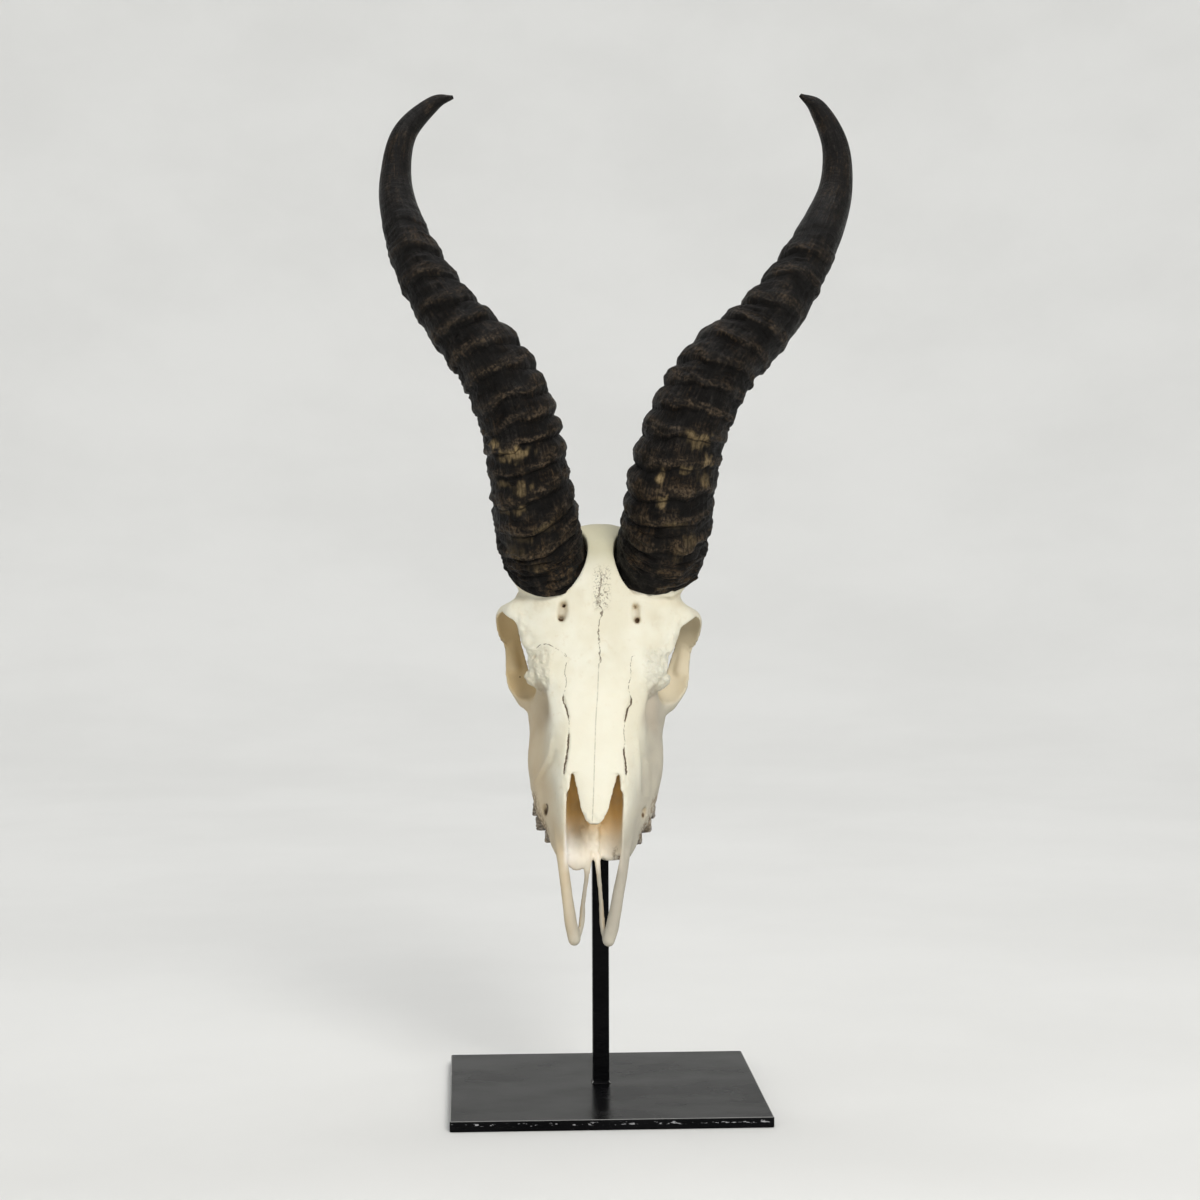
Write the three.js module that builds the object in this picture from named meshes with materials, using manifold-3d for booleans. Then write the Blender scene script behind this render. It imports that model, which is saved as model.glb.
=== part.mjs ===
// A horned antelope skull that hangs nose down on a square steel post, welded to a steel plate.
// Units are millimetres and +Z is up. The origin is the middle of the plate's underside.
// The skull, the horns and the teeth are modelled in the head's own frame, in which +X is the
// right side of the picture plane, +Y runs from the brow to the palate, and +Z runs from the
// tip of the snout (0) to the back of the skull (about 200).
import * as THREE from 'three';
import { ParametricGeometry } from 'three/addons/geometries/ParametricGeometry.js';
import { mergeVertices } from 'three/addons/utils/BufferGeometryUtils.js';
import Module from 'manifold-3d';

const wasm = await Module();
wasm.setup();

// ---- Stand -------------------------------------------------------------------------------
const PLATE_SIDE = 150;
const PLATE_THICKNESS = 5;
const PLATE_CHAMFER = 0.6;
const POST_SIDE = 8;
const POST_CENTRE = [-1.3, 6.0];
const POST_TOP = 243;
const FIT_GAP = 0.3;

// ---- How the head sits on the post -------------------------------------------------------
const HEAD_ORIGIN = [-9.9, -92.0, 96.2];
const HEAD_TILT = THREE.MathUtils.degToRad(20);
const HEAD_LEAN = THREE.MathUtils.degToRad(1.6);
const HEAD_TURN = THREE.MathUtils.degToRad(-2.6);

// ---- Horns -------------------------------------------------------------------------------
// Each centre line starts in the middle of the base rim and ends at the tip.
// ringEdges are the grooves between rings, measured along the centre line.
const HORNS = {
  horn_left: {
    inward: 1,
    line: [
      [-26.5, 6.5, 177], [-29.4, -4.8, 185.2], [-31.2, -13.9, 192.2], [-34.3, -27.4, 207.1],
      [-40, -40.7, 231.3], [-52.7, -47.9, 255], [-72, -49.3, 277.2], [-88.2, -46.7, 303.5],
      [-99.5, -42.6, 334.8], [-102.2, -40.7, 356.2], [-98.8, -41.1, 376.9], [-85.9, -42, 392.4],
      [-76.4, -42, 396.4],
    ],
    halfWidth: [20.8, 20.2, 19.7, 18.4, 17.8, 16.7, 13.9, 11.6, 9.2, 7.3, 5.9, 3.7, 0.9],
    ringEdges: [9, 20, 31, 42, 53, 64, 72, 81, 91, 102, 114, 128, 143, 160, 178, 196],
  },
  horn_right: {
    inward: -1,
    line: [
      [26.9, 6.5, 177.5], [29.4, -5, 186.4], [31.1, -13.3, 193], [33, -26.9, 208.1],
      [39.6, -39.8, 232.2], [53.1, -46, 256.7], [73.1, -45.3, 278.7], [89.9, -40.7, 306.4],
      [103.4, -34.8, 337.3], [109.5, -32.6, 358.7], [109, -33.8, 380.1], [100.6, -37, 397.6],
      [91.7, -39, 403.9],
    ],
    halfWidth: [20.8, 20.4, 20.2, 19.9, 18.7, 17.3, 14.2, 12.2, 10.2, 8, 6.4, 4.4, 0.9],
    ringEdges: [6, 16, 27, 37, 49, 62, 73, 83, 93, 104, 117, 132, 149, 166, 184, 200],
  },
};
const HORN_BASE_BACK = new THREE.Vector3(0, 0.48, 0.877);
const HORN_BASE_OUT = new THREE.Vector3(0, -0.877, 0.48);
const HORN_DEPTH_AT_BASE = 1.18;
const HORN_DEPTH_AT_TIP = 1.02;
const HORN_SIDES = 12;
const HORN_TIP_ROWS = 8;
const RING_RELIEF = 3.0;
const RING_SKEW = 0.16;
const RING_PHASES = [0, 0.22, 0.55, 0.86];
const HORN_MATERIAL = new THREE.MeshStandardMaterial({ color: 0x2a231d, roughness: 0.62 });

// ---- Skull -------------------------------------------------------------------------------
// Half rings run from the top of the face round the right side to the palate, as [x, y].
const MUZZLE_STATIONS = [
  { z: 42, ring: [[0, 24], [8, 24], [14, 24.5], [16.6, 28], [17.4, 33], [17.6, 38], [15.5, 43.5],
    [8, 45.5], [0, 45.5]] },
  { z: 47, ring: [[0, 19], [8, 19], [14, 20], [17, 24.5], [19, 31], [20, 37.5], [18.5, 44.5],
    [10, 46], [0, 46]] },
  { z: 54, ring: [[0, 13], [8, 13], [14.2, 13.5], [17.4, 19], [20.2, 28], [22, 37.5], [21.4, 45],
    [11, 47], [0, 47]] },
  { z: 62, ring: [[0, 8], [8, 8], [14.6, 8.7], [18.4, 16], [22.6, 27], [26.4, 38], [25.6, 45.5],
    [12, 48], [0, 48]] },
  { z: 76, ring: [[0, 4], [8, 4.3], [14.6, 5.4], [19.5, 13], [25, 25], [30, 37], [28.6, 46.5],
    [13, 49], [0, 49]] },
  { z: 88, ring: [[0, 2.2], [8, 2.5], [14.4, 3.6], [20.5, 10], [25.8, 23], [32, 36], [29.6, 47.5],
    [13, 50], [0, 50]] },
  { z: 102, ring: [[0, 1], [8, 1.3], [15, 2.4], [21.6, 7], [25, 20], [31.6, 36], [29, 47.5],
    [13, 50.5], [0, 50.5]] },
  { z: 114, ring: [[0, 0.4], [9, 0.6], [18, 2], [24.6, 7], [27, 18], [32.6, 35], [29, 48], [12, 50],
    [0, 50]] },
  { z: 126, ring: [[0, -0.4], [11, -0.2], [23, 1.4], [30, 6], [30.5, 16], [29, 29], [22, 41],
    [10, 46], [0, 46]] },
  { z: 136, ring: [[0, 2], [9, 2], [17, 4], [21, 10], [22, 18], [20, 28], [15, 36], [8, 40],
    [0, 40]] },
];
const BROW_STATIONS = [
  { z: 112, ring: [[0, 1.5], [8, 1.6], [14, 3], [17, 7], [14, 11], [7, 13], [0, 13]] },
  { z: 122, ring: [[0, -0.2], [13, 0.4], [25, 3], [29.5, 8], [24, 14], [12, 17], [0, 17]] },
  { z: 134, ring: [[0, -1.4], [14, -1], [26, 1.2], [31.5, 6.5], [27, 13], [13, 18], [0, 18]] },
  { z: 142, ring: [[0, -2.4], [15, -2.2], [30, 0.6], [37, 6], [32, 12], [15, 18], [0, 18]] },
  { z: 151, ring: [[0, -3.2], [17, -3.2], [34, 1.2], [44, 9.5], [39, 17], [18, 20], [0, 20]] },
  { z: 160, ring: [[0, -3.4], [17, -3.2], [31, 1.2], [39.5, 11], [36, 20], [18, 24], [0, 24]] },
  { z: 172, ring: [[0, -1.6], [14, -1.2], [25, 3], [30, 12], [28, 22], [15, 28], [0, 28]] },
  { z: 184, ring: [[0, 3], [10, 3.6], [19, 8], [24, 16], [22, 26], [11, 30], [0, 30]] },
];
const NASAL_STATIONS = [
  { z: 50.8, ring: [[0, 8.1], [1.7, 8.2], [3.1, 8.8], [1.7, 9.6], [0, 9.6]] },
  { z: 53, ring: [[0, 7.4], [2.5, 7.6], [4.6, 8.6], [2.5, 9.5], [0, 9.5]] },
  { z: 58, ring: [[0, 6.5], [3.7, 6.8], [6.7, 8.2], [3.7, 9.2], [0, 9]] },
  { z: 64, ring: [[0, 5.6], [4.6, 5.9], [8.2, 7.6], [4.6, 8], [0, 7.8]] },
  { z: 73, ring: [[0, 4.4], [6, 4.7], [10.4, 6.3], [6, 7], [0, 6.8]] },
  { z: 84, ring: [[0, 2.8], [7, 3.1], [12.4, 4.5], [7, 6], [0, 6]] },
];
const CAVITY_STATIONS = [
  { z: 26, ring: [[0, -8], [8, -8], [12, -7], [12.6, 10], [12, 30], [8, 40], [0, 41]] },
  { z: 46, ring: [[0, -8], [9, -8], [12.8, -7], [13, 12], [12.6, 30], [9, 39.5], [0, 40.5]] },
  { z: 60, ring: [[0, -8], [9, -8], [13, -7], [13.1, 14], [13.4, 29], [9.5, 38], [0, 39]] },
  { z: 70, ring: [[0, -6], [8, -6], [12.2, -5], [13, 12], [13.6, 28], [9.5, 37], [0, 38]] },
  { z: 76, ring: [[0, 6.5], [7, 6.6], [11, 8], [12.6, 15], [13, 28], [9, 36], [0, 37]] },
  { z: 98, ring: [[0, 5], [6, 5.2], [10, 8], [11.6, 15], [11, 27], [7, 34], [0, 35]] },
  { z: 112, ring: [[0, 9], [3, 9.4], [5, 12], [6, 18], [5, 25], [3, 28], [0, 28.6]] },
];

// Limbs are rounded bars: centre line points and the radius at each. Each one is mirrored.
const LIMBS = [
  { name: 'eye socket bar', path: [[39.6, 9, 152], [43.2, 18, 152.6], [42.4, 27, 148], [39.8, 33, 137],
    [37.8, 36, 126.6], [33, 37, 118.4]], radii: [5, 6, 6.2, 6, 6, 5.2] },
  { name: 'brow edge', path: [[38.4, 11, 155], [37, 9, 149.8], [35, 8.2, 144], [32.8, 7.6, 138],
    [29.6, 8.2, 132], [28.8, 11, 126], [28.6, 14, 120]], radii: [2.6, 2.8, 3.1, 3.3, 3.4, 3.6, 3.4] },
  { name: 'eye socket rear wall', path: [[35, 12, 157.5], [39.6, 20.4, 157.5], [41, 28.6, 153.5],
    [40.2, 34.6, 146], [39.2, 38, 137], [37.4, 39.4, 128], [34, 39.2, 119]],
    radii: [3, 3.4, 3.6, 3.8, 4, 4, 4] },
  { name: 'cheek arch', path: [[40, 40, 134], [42, 39.4, 146], [41, 38.5, 158], [37, 37, 169],
    [30, 34, 178]], radii: [3.4, 3.2, 3, 3.2, 4] },
  { name: 'front limb of the snout', path: [[15.2, 20, 62], [15.8, 26, 50], [14.2, 28.5, 36],
    [11.7, 29, 20], [9.7, 29.6, 8], [8, 30.6, 0.6]], radii: [1.8, 2.5, 2.5, 2.7, 3.1, 2.9] },
  { name: 'inner limb of the snout', path: [[7.2, 31.5, 1.5], [5.2, 33, 6], [4, 35.5, 21],
    [2.4, 38, 36], [1.6, 40.5, 48]], radii: [1.5, 1.3, 1.2, 1.3, 1.6] },
  { name: 'nose side spike', path: [[13, 6.6, 78], [12.6, 6.6, 72], [12.4, 6.8, 66.4]],
    radii: [1.4, 1.2, 0.6] },
  { name: 'tooth carrier', path: [[16.5, 43.5, 50], [20, 44.5, 57], [22.6, 45.5, 66], [24.6, 46.5, 78],
    [25, 46.5, 92], [24.4, 46.5, 108], [21, 44, 118]], radii: [3, 3.4, 3.8, 4, 4.2, 4.2, 3.6] },
  { name: 'wing behind the palate', path: [[10, 46, 118], [10.5, 50, 128], [10.5, 50, 138],
    [9.5, 45, 150]], radii: [2.6, 2, 2, 2.6] },
  { name: 'neck process', path: [[19, 38, 186], [21, 47, 187], [20.5, 56, 183]], radii: [5, 3.4, 1.8] },
];
const EARLY_LIMBS = ['eye socket bar', 'eye socket rear wall', 'tooth carrier'];
const KEEL = { path: [[0, 40, 196], [0, 46, 184], [0, 45, 166], [0, 43.5, 150], [0, 41, 136],
  [0, 38, 124]], radii: [8, 8, 8.5, 8.2, 6, 4] };
const VOMER = { path: [[0, 37, 92], [0, 35.5, 70], [0.2, 36, 58], [0.5, 38, 48], [0.5, 39.5, 43]],
  radii: [2, 2.4, 3, 2.6, 1.4] };
const BLOBS = [
  { name: 'braincase', centre: [0, 21, 170], size: [30.5, 24.5, 30], mirrored: false },
  { name: 'back of the skull', centre: [0, 28, 184], size: [26.5, 20, 17], mirrored: false },
  { name: 'neck knuckle', centre: [8.5, 43, 197], size: [5.8, 7, 6.5], mirrored: true },
  { name: 'ear capsule', centre: [15, 43, 172], size: [6.5, 9.5, 9], mirrored: true },
  { name: 'ear root', centre: [26.5, 33, 178], size: [6, 6, 8], mirrored: true },
];
const TEAR_KNOB = { centre: [30.9, 12.5, 121.4], size: [3.3, 3.6, 3.2] };
const PALATE_FRONTS = [
  { centre: [-7.8, 36, 43.5], size: [6.4, 1.8, 9.6] },
  { centre: [-7.4, 38.4, 54], size: [6.6, 2.2, 11] },
  { centre: [8, 42.5, 46], size: [7, 2, 5] },
];
const HOLLOWS = [
  { name: 'eyeball', centre: [36.6, 21.5, 136], size: [12.5, 16.3, 16.5], turn: -20 },
  { name: 'eye socket back', centre: [33.5, 24, 143], size: [10.5, 13, 13], turn: 0 },
  { name: 'eye socket top', centre: [40.8, 17, 148.4], size: [7, 10, 8.6], turn: 0 },
  { name: 'eye socket floor', centre: [35.8, 26, 127], size: [9.5, 12, 13], turn: 0 },
  { name: 'tear pit', centre: [32.4, 12.5, 107.5], size: [10, 10, 11.5], turn: 0 },
  { name: 'temple', centre: [36.5, 23.5, 169.5], size: [8.5, 11, 11], turn: 0 },
  { name: 'brow pit', centre: [17.4, -4.6, 150], size: [2.6, 3.4, 6.4], turn: 0 },
  { name: 'cheek nerve hole', centre: [23.4, 30.4, 61.5], size: [1.7, 3, 2.8], turn: 0 },
];
const HOLLOW_FACETS = { large: [9, 6], small: [6, 4] };
const NECK_HOLE = { centre: [0, 35, 204], size: [8, 7, 12] };
const PEDICLE_DROP = 16;
const PEDICLE_SCALE = 0.9;
const PEDICLE_TAPER = 0.024;
const BONE_MATERIAL = new THREE.MeshStandardMaterial({ color: 0xe9e0c8, roughness: 0.7 });

// ---- Cheek teeth: name, place of the root's middle, length along the row, width ----------
const TEETH = [
  { name: 'premolar_2', root: [20.4, 46, 53.4], length: 5.6, width: 5 },
  { name: 'premolar_3', root: [24.4, 47, 60], length: 6.6, width: 6 },
  { name: 'premolar_4', root: [26, 48, 67.4], length: 7.2, width: 6.4 },
  { name: 'molar_1', root: [26, 48.6, 77], length: 10.6, width: 7.4 },
  { name: 'molar_2', root: [26.2, 48.6, 89.6], length: 13, width: 7.8 },
  { name: 'molar_3', root: [25.6, 48, 103.6], length: 13.4, width: 7.4 },
];
const TOOTH_ROOT = 4;
const TOOTH_CROWN = 6.5;
const CUSP_RISE = 2.2;
const TOOTH_SPACING_GAP = 0.25;
const TOOTH_MATERIAL = new THREE.MeshStandardMaterial({ color: 0x9a8f7c, roughness: 0.55 });
const STEEL_MATERIAL = new THREE.MeshStandardMaterial({ color: 0x1c1c1d, roughness: 0.5, metalness: 0.6 });

// ---- Helpers -----------------------------------------------------------------------------
const vec = ([x, y, z]) => new THREE.Vector3(x, y, z);

function spline(points, closed = false) {
  return new THREE.CatmullRomCurve3(points, closed, 'catmullrom', 0.5);
}

// Merges the shared vertices, drops triangles that have shrunk to nothing, and turns the
// faces outwards, so that what is left is one closed body.
function closedMesh(geometry) {
  const bare = geometry.clone();
  bare.deleteAttribute('normal');
  bare.deleteAttribute('uv');
  const merged = mergeVertices(bare, 1e-4);
  const kept = [];
  const index = merged.index.array;
  for (let i = 0; i < index.length; i += 3) {
    const [a, b, c] = [index[i], index[i + 1], index[i + 2]];
    if (a !== b && b !== c && c !== a) kept.push(a, b, c);
  }
  merged.setIndex(kept);
  if (enclosedVolume(merged) < 0) merged.setIndex(kept.reverse());
  return merged;
}

function enclosedVolume(geometry) {
  const place = geometry.attributes.position;
  const [a, b, c] = [new THREE.Vector3(), new THREE.Vector3(), new THREE.Vector3()];
  const index = geometry.index.array;
  let six = 0;
  for (let i = 0; i < index.length; i += 3) {
    a.fromBufferAttribute(place, index[i]);
    b.fromBufferAttribute(place, index[i + 1]);
    c.fromBufferAttribute(place, index[i + 2]);
    six += a.dot(b.cross(c));
  }
  return six / 6;
}

function toSolid(geometry) {
  const closed = closedMesh(geometry);
  const vertProperties = new Float32Array(closed.attributes.position.array);
  const triVerts = new Uint32Array(closed.index.array);
  return new wasm.Manifold(new wasm.Mesh({ numProp: 3, vertProperties, triVerts }));
}

function toGeometry(solid) {
  const mesh = solid.getMesh();
  const geometry = new THREE.BufferGeometry();
  geometry.setAttribute('position', new THREE.BufferAttribute(mesh.vertProperties, 3));
  geometry.setIndex(new THREE.BufferAttribute(mesh.triVerts, 1));
  return geometry;
}

// Rows of points become one closed skin: each row is a ring, and the first and last rows
// are closed by a point in their middle.
function skin(rows, sides) {
  const middle = (row) => row.reduce((sum, p) => sum.add(p), new THREE.Vector3()).divideScalar(row.length);
  const poled = [[middle(rows[0])], ...rows, [middle(rows[rows.length - 1])]];
  const place = (u, v, target) => {
    const row = poled[Math.round(v * (poled.length - 1))];
    target.copy(row[Math.round(u * sides) % row.length]);
  };
  return new ParametricGeometry(place, sides, poled.length - 1);
}

// A loft through stations: the half rings are mirrored, and splines run round and along.
function loft(stations, sides, steps) {
  const rails = [];
  const count = stations[0].ring.length;
  for (let k = 0; k < 2 * count - 2; k += 1) {
    const mirrored = k >= count;
    const source = mirrored ? 2 * count - 2 - k : k;
    rails.push(spline(stations.map(({ z, ring }) => {
      const [x, y] = ring[source];
      return new THREE.Vector3(mirrored ? -x : x, y, z);
    })));
  }
  const rows = [];
  for (let i = 0; i <= steps; i += 1) {
    const round = spline(rails.map((rail) => rail.getPoint(i / steps)), true);
    rows.push(Array.from({ length: sides }, (_, j) => round.getPoint(j / sides)));
  }
  return skin(rows, sides);
}

// A rounded bar along a curve, with a radius at each point of its path.
function limb({ path, radii }, sides, steps) {
  const curve = spline(path.map(vec));
  const rows = [];
  const addRow = (t, radius, shift) => {
    const centre = curve.getPoint(t);
    const along = curve.getTangent(t);
    const side = new THREE.Vector3(1, 0.2, 0.1).cross(along).normalize();
    const other = along.clone().cross(side);
    centre.addScaledVector(along, shift);
    rows.push(Array.from({ length: sides }, (_, j) => {
      const angle = (2 * Math.PI * j) / sides;
      return centre.clone().addScaledVector(side, radius * Math.cos(angle))
        .addScaledVector(other, radius * Math.sin(angle));
    }));
  };
  const cap = Math.SQRT1_2;
  addRow(0, radii[0] * cap, -radii[0] * cap);
  for (let i = 0; i <= steps; i += 1) addRow(i / steps, valueAt(radii, i / steps), 0);
  addRow(1, radii[radii.length - 1] * cap, radii[radii.length - 1] * cap);
  return skin(rows, sides);
}

// A value read from an evenly spread list, with straight lines between the entries.
function valueAt(list, t) {
  const place = t * (list.length - 1);
  const low = Math.min(Math.floor(place), list.length - 2);
  return THREE.MathUtils.lerp(list[low], list[low + 1], place - low);
}

function blob({ centre, size, turn = 0 }, sides = 8, bands = 5) {
  const ball = new THREE.SphereGeometry(1, sides, bands);
  ball.scale(...size);
  ball.rotateZ(THREE.MathUtils.degToRad(turn));
  ball.translate(...centre);
  return ball;
}

function mirrorPath(bar) {
  return { ...bar, path: bar.path.map(([x, y, z]) => [-x, y, z]) };
}

function mirrorBlob(ball) {
  const [x, y, z] = ball.centre;
  return { ...ball, centre: [-x, y, z], turn: -(ball.turn ?? 0) };
}

// ---- Horn --------------------------------------------------------------------------------
// The base rim is an ellipse that lies on the brow. Above it the sections stand square to the
// centre line, and each ring swells between two grooves, most on the inner side.
function hornRows(horn, grow, drop) {
  const curve = spline(horn.line.map(vec));
  const length = curve.getLength();
  const edges = horn.ringEdges;
  const section = (distance, relief) => {
    const t = curve.getUtoTmapping(0, Math.min(distance, length));
    const centre = curve.getPoint(t);
    const along = curve.getTangent(t);
    const side = new THREE.Vector3(1, 0, 0).addScaledVector(along, -along.x).normalize();
    const back = along.clone().cross(side);
    const half = valueAt(horn.halfWidth, t) + grow;
    const deep = half * THREE.MathUtils.lerp(HORN_DEPTH_AT_BASE, HORN_DEPTH_AT_TIP, distance / length);
    const skew = RING_SKEW * half * (1 - THREE.MathUtils.smoothstep(distance, 60, 120))
      * THREE.MathUtils.smoothstep(distance, 10, 40);
    return Array.from({ length: HORN_SIDES }, (_, j) => {
      const angle = (2 * Math.PI * j) / HORN_SIDES;
      const inner = 0.5 + 0.5 * horn.inward * Math.cos(angle);
      const swell = relief * (0.3 + 0.7 * inner);
      return centre.clone().addScaledVector(side, (half + swell) * Math.cos(angle))
        .addScaledVector(back, (deep + swell) * Math.sin(angle))
        .addScaledVector(along, skew * (inner - 0.5));
    });
  };
  const rim = Array.from({ length: HORN_SIDES }, (_, j) => {
    const angle = (2 * Math.PI * j) / HORN_SIDES;
    const wide = horn.halfWidth[0] + grow;
    return vec(horn.line[0]).addScaledVector(new THREE.Vector3(1, 0, 0), wide * Math.cos(angle))
      .addScaledVector(HORN_BASE_BACK, wide * HORN_DEPTH_AT_BASE * Math.sin(angle))
      .addScaledVector(HORN_BASE_OUT, -drop);
  });
  const rows = [rim];
  edges.slice(0, -1).forEach((edge, k) => {
    const spacing = edges[k + 1] - edge;
    const strength = RING_RELIEF * THREE.MathUtils.smoothstep(edge, -6, 24)
      * (1 - THREE.MathUtils.smoothstep(edge, 165, 205));
    RING_PHASES.forEach((phase) => {
      const relief = strength * (Math.sin(Math.PI * phase) - 0.55);
      rows.push(section(edge + phase * spacing, relief));
    });
  });
  const smoothStart = edges[edges.length - 1];
  for (let i = 0; i < HORN_TIP_ROWS; i += 1) {
    const share = 1 - (1 - i / (HORN_TIP_ROWS - 1)) ** 1.3;
    rows.push(section(THREE.MathUtils.lerp(smoothStart, length, share), 0));
  }
  return rows;
}

function hornGeometry(horn) {
  return closedMesh(skin(hornRows(horn, 0, 0), HORN_SIDES));
}

// The horn's foot, a little larger all round and lower, which is cut out of the skull.
function hornSeat(horn) {
  return toSolid(skin(hornRows(horn, FIT_GAP, FIT_GAP).slice(0, 14), HORN_SIDES));
}

// The bony stump that carries the horn: the base rim carried down into the brow, narrower as
// it goes.
function pedicle(horn) {
  const rim = hornRows(horn, 0, 0)[0];
  const middle = vec(horn.line[0]);
  const ring = (depth) => rim.map((p) => p.clone().sub(middle)
    .multiplyScalar(PEDICLE_SCALE * (1 - PEDICLE_TAPER * depth))
    .add(middle).addScaledVector(HORN_BASE_OUT, -depth));
  return skin([ring(0), ring(PEDICLE_DROP)], HORN_SIDES);
}

// ---- Teeth -------------------------------------------------------------------------------
// A cheek tooth: a tapered block with a root in the bone and two cusps on the outer side.
function toothRows({ length, width }) {
  const halfLong = length / 2 - TOOTH_SPACING_GAP;
  const halfWide = width / 2;
  const outline = (scale, y, cusp) => [
    [1, 1, 0.4], [1, 0.5, 1], [1, 0, 0.2], [1, -0.5, 1], [1, -1, 0.4], [-1, -1, 0], [-1, 1, 0],
  ].map(([x, z, rise]) => new THREE.Vector3(x * halfWide * scale, y + cusp * rise, z * halfLong * scale));
  return [
    outline(0.78, -TOOTH_ROOT, 0),
    outline(1, 0.4 * TOOTH_CROWN, 0),
    outline(0.86, TOOTH_CROWN, CUSP_RISE),
  ];
}

function toothSkin(tooth, side) {
  const rows = toothRows(tooth);
  const [x, y, z] = tooth.root;
  rows.forEach((row) => row.forEach((p) => p.set(side * (x + p.x), y + p.y, z + p.z)));
  return skin(rows, rows[0].length);
}

// The trough that one side's teeth stand in. Where two teeth meet it is as wide as both.
function toothTrough(side) {
  const last = TEETH[TEETH.length - 1];
  const rows = [];
  for (let k = 0; k <= TEETH.length; k += 1) {
    const near = TEETH.slice(Math.max(k - 1, 0), k + 1);
    const inner = Math.min(...near.map(({ root, width }) => root[0] - width / 2)) - FIT_GAP;
    const outer = Math.max(...near.map(({ root, width }) => root[0] + width / 2)) + FIT_GAP;
    const roof = Math.min(...near.map(({ root }) => root[1])) - TOOTH_ROOT - FIT_GAP;
    const floor = roof + TOOTH_ROOT + 2 * TOOTH_CROWN;
    const start = k < TEETH.length
      ? TEETH[k].root[2] - TEETH[k].length / 2
      : last.root[2] + last.length / 2;
    rows.push([[inner, roof], [outer, roof], [outer, floor], [inner, floor]]
      .map(([x, y]) => new THREE.Vector3(side * x, y, start)));
  }
  return skin(rows, 4);
}

// ---- Skull -------------------------------------------------------------------------------
function bothSides(bar, sides, steps) {
  const right = toSolid(limb(bar, sides, steps));
  return right.add(toSolid(limb(mirrorPath(bar), sides, steps)));
}

function skullGeometry(headInverse) {
  const bars = new Map(LIMBS.map((bar) => [bar.name, bar]));
  let skull = toSolid(loft(MUZZLE_STATIONS, 16, 8));
  skull = skull.add(bothSides(bars.get('tooth carrier'), 5, 4));
  skull = skull.add(toSolid(loft(BROW_STATIONS, 14, 8)));
  for (const horn of Object.values(HORNS)) skull = skull.add(toSolid(pedicle(horn)));
  for (const ball of BLOBS) {
    if (ball.mirrored) skull = skull.add(toSolid(blob(ball))).add(toSolid(blob(mirrorBlob(ball))));
    else skull = skull.add(toSolid(blob(ball, 12, 7)));
  }
  skull = skull.add(bothSides(bars.get('eye socket bar'), 7, 6));
  skull = skull.add(bothSides(bars.get('eye socket rear wall'), 5, 5));
  for (const ball of HOLLOWS) {
    const [sides, bands] = HOLLOW_FACETS[ball.size[0] > 8 ? 'large' : 'small'];
    skull = skull.subtract(toSolid(blob(ball, sides, bands)));
    skull = skull.subtract(toSolid(blob(mirrorBlob(ball), sides, bands)));
  }
  for (const ball of [TEAR_KNOB, mirrorBlob(TEAR_KNOB)]) skull = skull.add(toSolid(blob(ball, 6, 4)));
  skull = skull.subtract(toSolid(loft(CAVITY_STATIONS, 10, 5)));
  skull = skull.add(toSolid(loft(NASAL_STATIONS, 10, 6)));
  skull = skull.add(toSolid(limb(KEEL, 5, 4))).add(toSolid(limb(VOMER, 5, 4)));
  for (const ball of PALATE_FRONTS) skull = skull.add(toSolid(blob(ball, 8, 4)));
  for (const bar of LIMBS) {
    if (EARLY_LIMBS.includes(bar.name)) continue;
    skull = skull.add(bothSides(bar, 5, bar.path.length - 1));
  }
  skull = skull.subtract(toSolid(blob(NECK_HOLE, 6, 4)));
  for (const horn of Object.values(HORNS)) skull = skull.subtract(hornSeat(horn));
  for (const side of [-1, 1]) skull = skull.subtract(toSolid(toothTrough(side)));
  const holeSide = POST_SIDE + 2 * FIT_GAP;
  const hole = new THREE.BoxGeometry(holeSide, holeSide, POST_TOP + FIT_GAP);
  hole.translate(POST_CENTRE[0], POST_CENTRE[1], (POST_TOP + FIT_GAP) / 2);
  hole.applyMatrix4(headInverse);
  return toGeometry(skull.subtract(toSolid(hole)));
}

// ---- Stand -------------------------------------------------------------------------------
function plateGeometry() {
  const inner = PLATE_SIDE / 2 - PLATE_CHAMFER;
  const outline = new THREE.Shape([
    new THREE.Vector2(-inner, -inner), new THREE.Vector2(inner, -inner),
    new THREE.Vector2(inner, inner), new THREE.Vector2(-inner, inner),
  ]);
  const plate = new THREE.ExtrudeGeometry(outline, {
    depth: PLATE_THICKNESS - 2 * PLATE_CHAMFER,
    bevelSize: PLATE_CHAMFER,
    bevelThickness: PLATE_CHAMFER,
    bevelSegments: 1,
  });
  plate.translate(0, 0, PLATE_CHAMFER);
  return closedMesh(plate);
}

function postGeometry() {
  const height = POST_TOP - PLATE_THICKNESS;
  const post = new THREE.BoxGeometry(POST_SIDE, POST_SIDE, height);
  post.translate(0, 0, height / 2);
  return closedMesh(post);
}

// ---- Assembly ----------------------------------------------------------------------------
function named(name, geometry, material) {
  const mesh = new THREE.Mesh(geometry, material);
  mesh.name = name;
  return mesh;
}

const model = new THREE.Group();
model.add(named('base_plate', plateGeometry(), STEEL_MATERIAL));
const post = named('post', postGeometry(), STEEL_MATERIAL);
post.position.set(POST_CENTRE[0], POST_CENTRE[1], PLATE_THICKNESS);
model.add(post);

const head = new THREE.Group();
head.position.set(...HEAD_ORIGIN);
head.rotation.set(-HEAD_TILT, HEAD_LEAN, HEAD_TURN, 'ZYX');
head.updateMatrixWorld(true);
model.add(head);

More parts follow.
